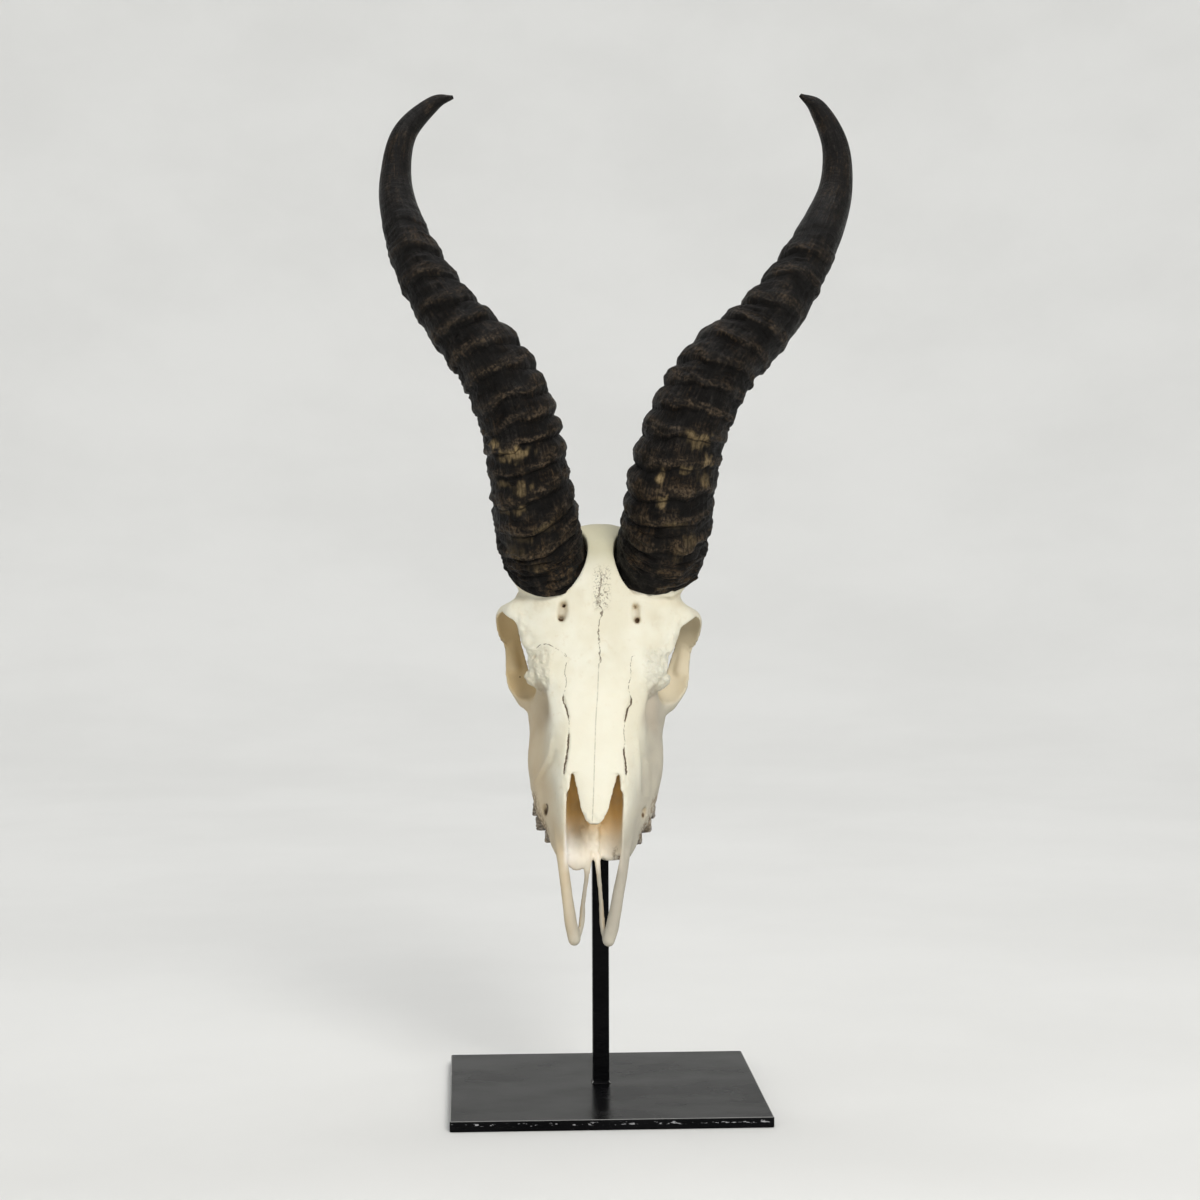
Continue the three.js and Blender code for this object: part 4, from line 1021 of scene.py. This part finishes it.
class Recipe:
    """A node material being put together: small helpers add nodes and join them."""

    def __init__(self, name):
        self.material = bpy.data.materials.new(name)
        self.material.use_nodes = True
        self.nodes = self.material.node_tree.nodes
        self.links = self.material.node_tree.links
        self.shader = self.nodes["Principled BSDF"]
        self.place = self.add("ShaderNodeTexCoord").outputs["Object"]

    def add(self, kind, **settings):
        node = self.nodes.new(kind)
        for key, value in settings.items():
            setattr(node, key, value)
        return node

    def join(self, source, target):
        self.links.new(source, target)

    def put(self, socket, value):
        if isinstance(value, bpy.types.NodeSocket):
            self.join(value, socket)
        else:
            socket.default_value = value

    def head_place(self):
        """Object coordinates turned into the head's frame, in millimetres."""
        turn = self.add("ShaderNodeMapping", vector_type="TEXTURE")
        turn.inputs["Location"].default_value = HEAD_ORIGIN * MM
        turn.inputs["Rotation"].default_value = HEAD_TURNS
        turn.inputs["Scale"].default_value = (MM, MM, MM)
        self.join(self.place, turn.inputs["Vector"])
        return turn.outputs["Vector"]

    def scaled(self, vector, scale):
        node = self.add("ShaderNodeMapping")
        node.inputs["Scale"].default_value = scale
        self.join(vector, node.inputs["Vector"])
        return node.outputs["Vector"]

    def noise(self, vector, scale, detail=4.0, rough=0.55, distortion=0.0):
        node = self.add("ShaderNodeTexNoise")
        node.inputs["Scale"].default_value = scale
        node.inputs["Detail"].default_value = detail
        node.inputs["Roughness"].default_value = rough
        node.inputs["Distortion"].default_value = distortion
        self.join(vector, node.inputs["Vector"])
        return node.outputs["Fac"]

    def cells(self, vector, scale, feature="F1"):
        node = self.add("ShaderNodeTexVoronoi", feature=feature)
        node.inputs["Scale"].default_value = scale
        self.join(vector, node.inputs["Vector"])
        return node.outputs["Distance"]

    def math(self, operation, a, b=0.0, c=0.0):
        node = self.add("ShaderNodeMath", operation=operation)
        for socket, value in zip(node.inputs, (a, b, c)):
            self.put(socket, value)
        return node.outputs[0]

    def times(self, first, second):
        """The product of two numbers or sockets."""
        return self.math("MULTIPLY", first, second)

    def most(self, first, second):
        """The greater of two numbers or sockets."""
        return self.math("MAXIMUM", first, second)

    def ramp(self, value, low, high, to_low=0.0, to_high=1.0):
        node = self.add("ShaderNodeMapRange", interpolation_type="SMOOTHSTEP")
        for socket, given in zip(node.inputs, (value, low, high, to_low, to_high)):
            self.put(socket, given)
        return node.outputs[0]

    def mix(self, share, first, second):
        """A colour between two, each given as a socket or as three numbers."""
        node = self.add("ShaderNodeMix", data_type="RGBA")
        self.put(node.inputs["Factor"], share)
        for socket, value in ((node.inputs[6], first), (node.inputs[7], second)):
            self.put(socket, value if isinstance(value, bpy.types.NodeSocket) else (*value, 1.0))
        return node.outputs[2]

    def blend(self, share, first, second):
        """A number between two."""
        node = self.add("ShaderNodeMix")
        self.put(node.inputs[0], share)
        self.put(node.inputs[2], first)
        self.put(node.inputs[3], second)
        return node.outputs[0]

    def attribute(self, name, output="Fac"):
        return self.add("ShaderNodeAttribute", attribute_name=name).outputs[output]

    def axes(self, vector):
        node = self.add("ShaderNodeSeparateXYZ")
        self.join(vector, node.inputs[0])
        return node.outputs

    def curve(self, value, points):
        """A smooth line through (value, result) points."""
        (low, _), (high, _) = points[0], points[-1]
        results = [result for _, result in points]
        bottom, top = min(results) - 1.0, max(results) + 1.0
        node = self.add("ShaderNodeFloatCurve")
        line = node.mapping.curves[0]
        places = [((at - low) / (high - low), (result - bottom) / (top - bottom)) for at, result in points]
        line.points[0].location = places[0]
        line.points[1].location = places[-1]
        for place in places[1:-1]:
            line.points.new(*place)
        node.mapping.update()
        share = self.math("DIVIDE", self.math("SUBTRACT", value, low), high - low)
        self.join(share, node.inputs["Value"])
        return self.math("MULTIPLY_ADD", node.outputs[0], top - bottom, bottom)

    def span(self, value, low, high, soft):
        """1 between two values, 0 outside them."""
        return self.times(self.ramp(value, low - soft, low + soft),
                         self.ramp(value, high - soft, high + soft, 1.0, 0.0))

    def near_line(self, across, along, line, wander, width):
        """1 on a line that is given as (along, across) points, 0 beyond its width."""
        off = self.math("SUBTRACT", self.math("ADD", across, wander), self.curve(along, line))
        return self.ramp(self.math("ABSOLUTE", off), self.times(width, 0.5), width, 1.0, 0.0)

    def bump(self, height, strength, distance, before=None):
        node = self.add("ShaderNodeBump")
        node.inputs["Strength"].default_value = strength
        node.inputs["Distance"].default_value = distance
        self.join(height, node.inputs["Height"])
        if before is not None:
            self.join(before, node.inputs["Normal"])
        return node.outputs["Normal"]

    def finish(self, color, roughness, normal=None):
        self.put(self.shader.inputs["Base Color"], color)
        self.put(self.shader.inputs["Roughness"], roughness)
        if normal is not None:
            self.join(normal, self.shader.inputs["Normal"])
        return self.material


def bone_seams(r, head):
    """Where the bones of the face meet: 1 on the lines, the open cracks and the small pits."""
    x, y, z = r.axes(head)
    front = r.ramp(y, 10.0, 16.0, 1.0, 0.0)
    broken = r.ramp(r.noise(head, 0.55, 3.0), 0.4, 0.56, 0.0, 1.0)
    jitter = r.math("MULTIPLY_ADD", r.noise(head, 0.9, 3.0), 1.1, -0.55)
    lines = None
    for side, spans in OPEN_CRACKS.items():
        opened = None
        for low, high in spans:
            span = r.span(z, low, high, 1.2)
            opened = span if opened is None else r.most(opened, span)
        width = r.math("MULTIPLY_ADD", opened, 0.32, 0.2)
        line = r.near_line(x, z, CRACKS[side], jitter, width)
        line = r.times(line, r.most(opened, r.times(broken, 0.7)))
        line = r.times(line, r.span(z, CRACKS[side][0][0], CRACKS[side][-1][0], 0.6))
        lines = line if lines is None else r.most(lines, line)
    upper = r.ramp(z, 122.0, 128.0)
    wander = r.times(r.math("MULTIPLY_ADD", r.noise(head, 0.45, 4.0), 3.6, -1.8), upper)
    middle = r.near_line(x, z, MIDDLE_SEAM, wander, r.math("MULTIPLY_ADD", upper, 0.02, 0.34))
    strength = r.times(r.ramp(upper, 0.0, 1.0, 0.35, 0.8), r.ramp(broken, 0.0, 1.0, 0.45, 1.0))
    middle = r.times(r.times(middle, strength), r.span(z, 51.0, 169.0, 1.0))
    lines = r.most(lines, middle)
    tear = r.near_line(z, x, TEAR_SEAM, jitter, 0.3)
    tear = r.times(tear, r.times(r.span(x, -29.0, -15.0, 0.5), broken))
    lines = r.most(lines, r.times(tear, 0.8))
    dots = r.ramp(r.cells(head, 0.85), 0.26, 0.42, 1.0, 0.0)
    loops = r.ramp(r.cells(head, 0.5, "DISTANCE_TO_EDGE"), 0.03, 0.08, 1.0, 0.0)
    loops = r.times(loops, r.ramp(r.noise(head, 0.7), 0.44, 0.54))
    cloud = r.times(r.span(z, 152.0, 171.0, 3.0), r.span(x, -2.6, 4.6, 1.6))
    cloud = r.times(cloud, r.ramp(r.noise(head, 0.3), 0.32, 0.46))
    dots = r.times(r.most(dots, loops), cloud)
    lines = r.most(lines, r.times(dots, 0.62))
    return r.times(lines, front)


def spots(r, head, places, soft):
    """1 inside small ellipsoids, falling off over the soft share of their size."""
    total = None
    for centre, size in places:
        node = r.add("ShaderNodeMapping", vector_type="TEXTURE")
        node.inputs["Location"].default_value = centre
        node.inputs["Scale"].default_value = size
        r.join(head, node.inputs["Vector"])
        length = r.add("ShaderNodeVectorMath", operation="LENGTH")
        r.join(node.outputs["Vector"], length.inputs[0])
        spot = r.ramp(length.outputs["Value"], 1.15 - soft, 1.15, 1.0, 0.0)
        total = spot if total is None else r.most(total, spot)
    return total


def bone_material():
    """Dry bleached bone: ivory with warmer and greyer patches, painted shade where it is sheltered,
    on the sides of the face and in the tear pits and brow dips, ochre inside the nose, dark cracks and
    pitted seams, and small holes painted dark as shade."""
    r = Recipe("dry_bone")
    head = r.head_place()
    x, y, z = r.axes(head)
    broad = r.noise(head, 0.045, 3.0)
    fine = r.noise(head, 0.35, 5.0)
    color = r.mix(r.ramp(broad, 0.35, 0.68), PATCH_IVORY, PALE_IVORY)
    color = r.mix(r.ramp(fine, 0.55, 0.8, 0.0, 0.45), color, FLECK_TAN)
    # greyer and yellower over the braincase; painted shade on the sides of the face, greyish on the right and
    # tan on the left
    color = r.mix(r.ramp(z, 166.0, 182.0, 0.0, 0.8), color, VAULT_BONE)
    nose = r.times(r.span(x, -13.0, 13.0, 2.0), r.span(z, 50.0, 118.0, 8.0))
    color = r.mix(r.times(nose, 0.6), color, NOSE_BONE)
    sides = r.times(r.ramp(y, 6.0, 26.0), r.ramp(broad, 0.3, 0.7, 0.6, 0.95))
    left = r.ramp(x, -4.0, -16.0)
    color = r.mix(sides, color, r.mix(left, RIGHT_SIDE_SHADE, LEFT_SIDE_TAN_SHADE))
    apart = r.math("ABSOLUTE", x)
    # painted shade in the tear pits, browner and darker on the left
    pit_shade = r.times(r.span(apart, 20.5, 29.0, 2.5), r.span(z, 99.0, 118.0, 4.0))
    pit_shade = r.times(pit_shade, r.ramp(y, 4.5, 8.5))
    color = r.mix(r.times(pit_shade, 0.6), color, r.mix(left, RIGHT_PIT_SHADE, LEFT_PIT_SHADE))
    # painted tan shade where other bone shelters the surface
    shelter_shade = r.times(r.ramp(r.attribute("shelter"), 0.1, 0.9), r.ramp(fine, 0.3, 0.7, 0.5, 1.0))
    color = r.mix(r.times(shelter_shade, 0.6), color, SHELTER_SHADE_TAN)
    color = r.mix(r.times(r.attribute("socket"), 0.9), color,
                  r.mix(left, RIGHT_SOCKET_BONE, LEFT_SOCKET_BONE))
    warm = r.times(r.attribute("inner"), r.ramp(r.noise(head, 0.12), 0.25, 0.6, 0.7, 1.0))
    floor = r.mix(left, RIGHT_PALATE, LEFT_PALATE)
    color = r.mix(warm, color, r.mix(r.ramp(z, 45.0, 64.0), floor, NOSE_OCHRE))
    # stains: the gum, the face beside the front teeth, the palate's right front and the nose tip
    gum = r.times(r.ramp(y, 41.0, 45.0), r.span(z, 48.0, 114.0, 3.0))
    cheek = r.times(r.ramp(y, 31.0, 39.0), r.span(z, 51.0, 72.0, 3.0))
    crust = r.times(r.span(x, 9.5, 15.0, 1.5), r.span(z, 36.0, 46.0, 2.0))
    crust = r.times(crust, r.ramp(y, 34.0, 38.0))
    outside = r.ramp(apart, r.ramp(z, 50.0, 62.0, 14.0, 19.0), 20.0)
    stained = r.most(r.times(r.most(gum, cheek), outside), crust)
    stained = r.times(stained, r.ramp(r.noise(head, 0.6, 5.0, 0.65), 0.42, 0.58))
    color = r.mix(stained, color, GUM_STAIN)
    tip = r.times(r.span(y, 8.8, 10.4, 0.4), r.span(x, -6.0, 6.0, 1.0))
    tip = r.times(r.ramp(z, 53.2, 51.8), tip)
    color = r.mix(r.times(tip, 0.8), color, NOSE_TIP_STAIN)
    seams = bone_seams(r, head)
    color = r.mix(r.times(seams, 0.95), color, SEAM_BROWN)
    # soft painted shade in the shallow dips of the brow
    dip_shade = r.times(spots(r, head, BROW_DIP_SHADES, 1.1), r.ramp(fine, 0.35, 0.6, 0.12, 0.3))
    color = r.mix(dip_shade, color, DIP_SHADE_TAN)
    color = r.mix(r.times(spots(r, head, BROW_SHADES, 0.9), 0.5), color, SHADE_BROWN)
    # small holes painted dark brown as shade
    color = r.mix(spots(r, head, DARK_HOLES, 0.4), color, HOLE_SHADE_BROWN)
    grain = r.noise(head, 1.2, 6.0, 0.65)
    normal = r.bump(grain, 0.25, 0.0006)
    pores = r.cells(head, 0.9)
    normal = r.bump(r.ramp(pores, 0.0, 0.22), 0.15, 0.0003, normal)
    normal = r.bump(seams, 0.6, -0.0004, normal)
    knobbly = r.times(r.span(apart, 22.0, 37.0, 2.0), r.span(z, 112.0, 134.0, 2.0))
    knobbly = r.times(knobbly, r.ramp(y, 18.0, 14.0))
    crumbs = r.times(r.noise(head, 0.55, 5.0, 0.62), knobbly)
    normal = r.bump(crumbs, 0.9, 0.0016, normal)
    r.shader.inputs["Specular IOR Level"].default_value = 0.35
    r.shader.inputs["Subsurface Weight"].default_value = 0.06
    r.shader.inputs["Subsurface Radius"].default_value = (0.004, 0.0025, 0.0015)
    return r.finish(color, r.ramp(grain, 0.3, 0.7, 0.62, 0.78), normal)


def horn_material():
    """Dark horn: black painted shade in the grooves, brown and slate fibres on the slopes, paler crests
    with a painted highlight, and amber where the lower rings are worn through."""
    r = Recipe("ringed_horn")
    grain = r.attribute("grain", "Vector")
    crest = r.attribute("crest")
    travel = r.attribute("travel")
    fibres = r.noise(r.scaled(grain, (1.0, 1.0, 0.07)), 0.95, 5.0, 0.68)
    blotches = r.noise(r.scaled(grain, (1.0, 1.0, 0.8)), 0.11, 4.0, 0.6)
    growth = r.noise(r.scaled(grain, (0.25, 0.25, 1.0)), 0.55, 4.0, 0.6)
    layers = r.noise(r.scaled(grain, (0.22, 0.22, 1.0)), 0.75, 5.0, 0.7)
    grit = r.noise(grain, 0.9, 5.0, 0.7)
    warmth = r.noise(grain, 0.07, 2.0)
    ringed = r.ramp(travel, 0.62, 0.78, 1.0, 0.0)
    brown = r.mix(r.ramp(warmth, 0.42, 0.62), SLATE_FIBRE, BROWN_FIBRE)
    _, ahead, distance = r.axes(grain)
    foot = r.ramp(distance, 8.0, 26.0, 1.0, 0.0)
    streaks = r.blend(foot, r.ramp(fibres, 0.42, 0.64), r.ramp(layers, 0.45, 0.58))
    speckle = r.ramp(grit, 0.42, 0.6, 0.1, 1.15)
    lit = r.times(streaks, r.ramp(blotches, 0.36, 0.62, 0.15, 1.0))
    color = r.mix(r.times(lit, speckle), SLOPE_BLACK, brown)
    # the front of the lower horn is browner, where the sheath has worn
    front = r.times(r.ramp(ahead, -8.0, -17.0), r.ramp(distance, 75.0, 40.0))
    front = r.times(front, r.ramp(blotches, 0.42, 0.6))
    front = r.times(front, r.times(speckle, r.ramp(crest, 0.2, 0.8, 0.1, 1.0)))
    front = r.times(front, r.blend(foot, r.ramp(fibres, 0.3, 0.65, 0.1, 0.75), streaks))
    color = r.mix(front, color, WORN_FRONT)
    # paler crests: a tan tone with a painted highlight on the ring crests
    crest_highlight = r.times(r.ramp(crest, 0.55, 1.0), r.ramp(growth, 0.42, 0.66, 0.1, 1.0))
    crest_highlight = r.times(crest_highlight, r.ramp(travel, 0.15, 0.6, 0.7, 0.4))
    color = r.mix(r.times(crest_highlight, speckle), color, CREST_TAN_HIGHLIGHT)
    amber_patch = r.times(r.attribute("worn"), r.ramp(fibres, 0.32, 0.6, 0.3, 1.0))
    amber_patch = r.times(amber_patch, r.ramp(distance, 20.0, 55.0, 0.35, 1.0))
    amber_patch = r.times(amber_patch, r.ramp(grit, 0.36, 0.56, 0.55, 1.0))
    color = r.mix(amber_patch, color, WORN_AMBER)
    # painted black shade in the grooves between the rings
    dark = r.times(r.ramp(crest, 0.0, 0.3, 0.85, 0.0), ringed)
    color = r.mix(dark, color, GROOVE_SHADE_BLACK)
    normal = r.bump(fibres, 0.8, 0.001)
    normal = r.bump(r.blend(foot, growth, layers), 0.6, 0.001, normal)
    normal = r.bump(r.times(grit, ringed), 0.8, 0.0011, normal)
    rough = r.math("ADD", r.ramp(travel, 0.55, 0.8, 0.52, 0.4), r.ramp(blotches, 0.3, 0.7, 0.12, -0.1))
    r.shader.inputs["Specular IOR Level"].default_value = 0.12
    return r.finish(color, rough, normal)


def tooth_material():
    """Cheek tooth: pale enamel stained grey and brown towards the gum line and in the grooves."""
    r = Recipe("stained_tooth")
    head = r.head_place()
    streaks = r.noise(r.scaled(head, (1.0, 0.25, 1.0)), 0.8, 4.0)
    color = r.mix(r.ramp(streaks, 0.4, 0.62), TOOTH_BROWN, ENAMEL)
    color = r.mix(r.ramp(r.attribute("height"), 0.35, 0.75, 0.5, 0.0), color, GUM_LINE_TAN)
    normal = r.bump(streaks, 0.4, 0.0005)
    return r.finish(color, 0.38, normal)


def steel_material():
    """Blackened steel: flat tops are satin with cloudy gloss, upright faces are matt black with a
    rough skin and small painted glints along the plate's edge, and the thin bevel has a pale painted
    highlight."""
    r = Recipe("blackened_steel")
    upward = r.axes(r.add("ShaderNodeNewGeometry").outputs["True Normal"])[2]
    top = r.ramp(upward, 0.5, 0.95)
    clouds = r.noise(r.scaled(r.place, (0.6, 1.0, 1.0)), 28.0, 5.0, 0.6)
    specks = r.noise(r.place, 420.0, 3.0, 0.6)
    skin = r.noise(r.scaled(r.place, (0.4, 0.4, 1.0)), 260.0, 3.0, 0.6)
    color = r.mix(r.ramp(clouds, 0.3, 0.7), STEEL_BLACK, STEEL_CLOUD)
    # painted highlight on the thin bevel, picked by its upward slope
    color = r.mix(r.span(upward, 0.66, 0.97, 0.01), color, BEVEL_HIGHLIGHT)
    # painted glints along the plate's edge
    rim = r.span(r.axes(r.place)[2], 0.0025, 0.0038, 0.0004)
    rim = r.times(rim, r.ramp(upward, 0.1, 0.3, 1.0, 0.0))
    glint_noise = r.noise(r.scaled(r.place, (0.3, 0.3, 1.0)), 880.0, 3.0, 0.6)
    edge_glints = r.times(rim, r.ramp(glint_noise, 0.60, 0.66))
    color = r.mix(edge_glints, color, PAINTED_GLINT)
    normal = r.bump(specks, 0.1, 0.0002)
    scale = r.times(skin, r.ramp(top, 0.0, 0.5, 1.0, 0.0))
    normal = r.bump(scale, 0.5, 0.0012, normal)
    r.shader.inputs["Specular IOR Level"].default_value = 0.04
    return r.finish(color, r.blend(top, 0.27, r.ramp(clouds, 0.3, 0.7, 0.19, 0.3)), normal)


# ---- Assembly -----------------------------------------------------------------------------------
def dress(piece, node, material):
    """Gives a piece its finish, and puts it in the place of the solid it stands for."""
    piece.data.materials.append(material)
    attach(piece, "root")
    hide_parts(node)


steel = steel_material()
horn_finish = horn_material()
tooth_finish = tooth_material()
dress(make_skull(), "skull", bone_material())
for order, horn_name in enumerate(HORNS):
    dress(make_horn(horn_name, 100 + 20 * order), horn_name, horn_finish)
for side, hand in ((-1, "left"), (1, "right")):
    for order, (tooth_name, root, length, width) in enumerate(TEETH):
        label = f"{tooth_name}_{hand}"
        dress(make_tooth(label, root, length, width, side, 300 + order), label, tooth_finish)
dress(make_post(), "post", steel)
dress(make_plate(), "base_plate", steel)


# ---- Floor, light and camera ---------------------------------------------------------------------
STAGE_FLOOR = 1.4
STAGE_BEND = 2.4
STAGE_HEIGHT = 3.2
STAGE_SIDES = 96
# name, place, target, sizes, power, colour
LIGHTS = [
    ("window", (0.5, -1.8, 1.25), (0, 0, 0.25), (0.8, 0.8), 34, (1.0, 0.985, 0.96)),
    ("fill", (-1.3, -1.4, 0.7), (0, 0, 0.25), (1.4, 1.4), 5, (0.96, 0.98, 1.0)),
    ("overhead", (0.0, 0.1, 1.9), (0, 0.3, 0.1), (1.6, 1.2), 10, (1.0, 1.0, 1.0)),
    ("wall_wash", (0.0, 0.9, 2.9), (0, 3.4, 0.6), (4.0, 1.4), 64, (1.0, 1.0, 1.0)),
]
ROOM_TINT = (0.9, 0.93, 1.0, 1.0)
ROOM_STRENGTH = 0.12


def make_stage():
    """A pale bowl: a round floor that bends up into an upright wall, swept about the middle."""
    bend = np.linspace(0, np.pi / 2, 24)
    radius = np.concatenate([[0.0, 0.5, 1.0], STAGE_FLOOR + STAGE_BEND * np.sin(bend),
                             [STAGE_FLOOR + STAGE_BEND] * 2])
    height = np.concatenate([[0.0] * 3, STAGE_BEND * (1 - np.cos(bend)), [2.0, STAGE_HEIGHT]])
    turn = 2 * np.pi * np.arange(STAGE_SIDES) / STAGE_SIDES
    points = np.stack([radius[:, None] * np.cos(turn), radius[:, None] * np.sin(turn),
                       height[:, None] + 0 * turn], -1)
    quads, _ = tube_faces(len(radius), STAGE_SIDES)
    stage = mesh_object("pale_stage", points.reshape(-1, 3), quads[:, ::-1])
    r = Recipe("pale_paper")
    tone = r.ramp(r.noise(r.place, 3.0), 0.3, 0.7)
    stage.data.materials.append(r.finish(r.mix(tone, PAPER_LOW, PAPER_HIGH), 0.9))


def add_area_light(name, place, target, size, power, tint):
    """A rectangular lamp at a place, turned to face its target."""
    light = bpy.data.lights.new(name, "AREA")
    light.shape = "RECTANGLE"
    light.size, light.size_y = size
    light.energy = power
    light.color = tint
    holder = bpy.data.objects.new(name, light)
    holder.location = place
    holder.rotation_euler = (Vector(target) - Vector(place)).to_track_quat("-Z", "Y").to_euler()
    bpy.context.collection.objects.link(holder)


CAMERA_PLACE = (-0.0666, -1.3009, 0.2904)
CAMERA_YAW = math.radians(2.88)
CAMERA_DROP = math.radians(2.14)
CAMERA_ROLL = math.radians(-0.21)
CAMERA_LENS = 80.58
CAMERA_SENSOR = 36.0


def add_camera():
    """The camera looks along +Y, turned by the yaw, dropped and then rolled about its own axis."""
    east, north = math.sin(CAMERA_YAW), math.cos(CAMERA_YAW)
    flat = math.cos(CAMERA_DROP)
    ahead = Vector((east * flat, north * flat, -math.sin(CAMERA_DROP)))
    level = Vector((north, -east, 0))
    upright = level.cross(ahead)
    right = level * math.cos(CAMERA_ROLL) + upright * math.sin(CAMERA_ROLL)
    up = right.cross(ahead)
    data = bpy.data.cameras.new("camera")
    data.lens = CAMERA_LENS
    data.sensor_width = CAMERA_SENSOR
    data.sensor_fit = "HORIZONTAL"
    camera = bpy.data.objects.new("camera", data)
    turn = Matrix((right, up, -ahead)).transposed().to_4x4()
    camera.matrix_world = Matrix.Translation(CAMERA_PLACE) @ turn
    bpy.context.collection.objects.link(camera)
    bpy.context.scene.camera = camera


make_stage()
for lamp in LIGHTS:
    add_area_light(*lamp)
world = bpy.data.worlds.new("room")
world.use_nodes = True
room = world.node_tree.nodes["Background"].inputs
room["Color"].default_value = ROOM_TINT
room["Strength"].default_value = ROOM_STRENGTH
bpy.context.scene.world = world
bpy.context.scene.view_settings.view_transform = "Standard"
add_camera()
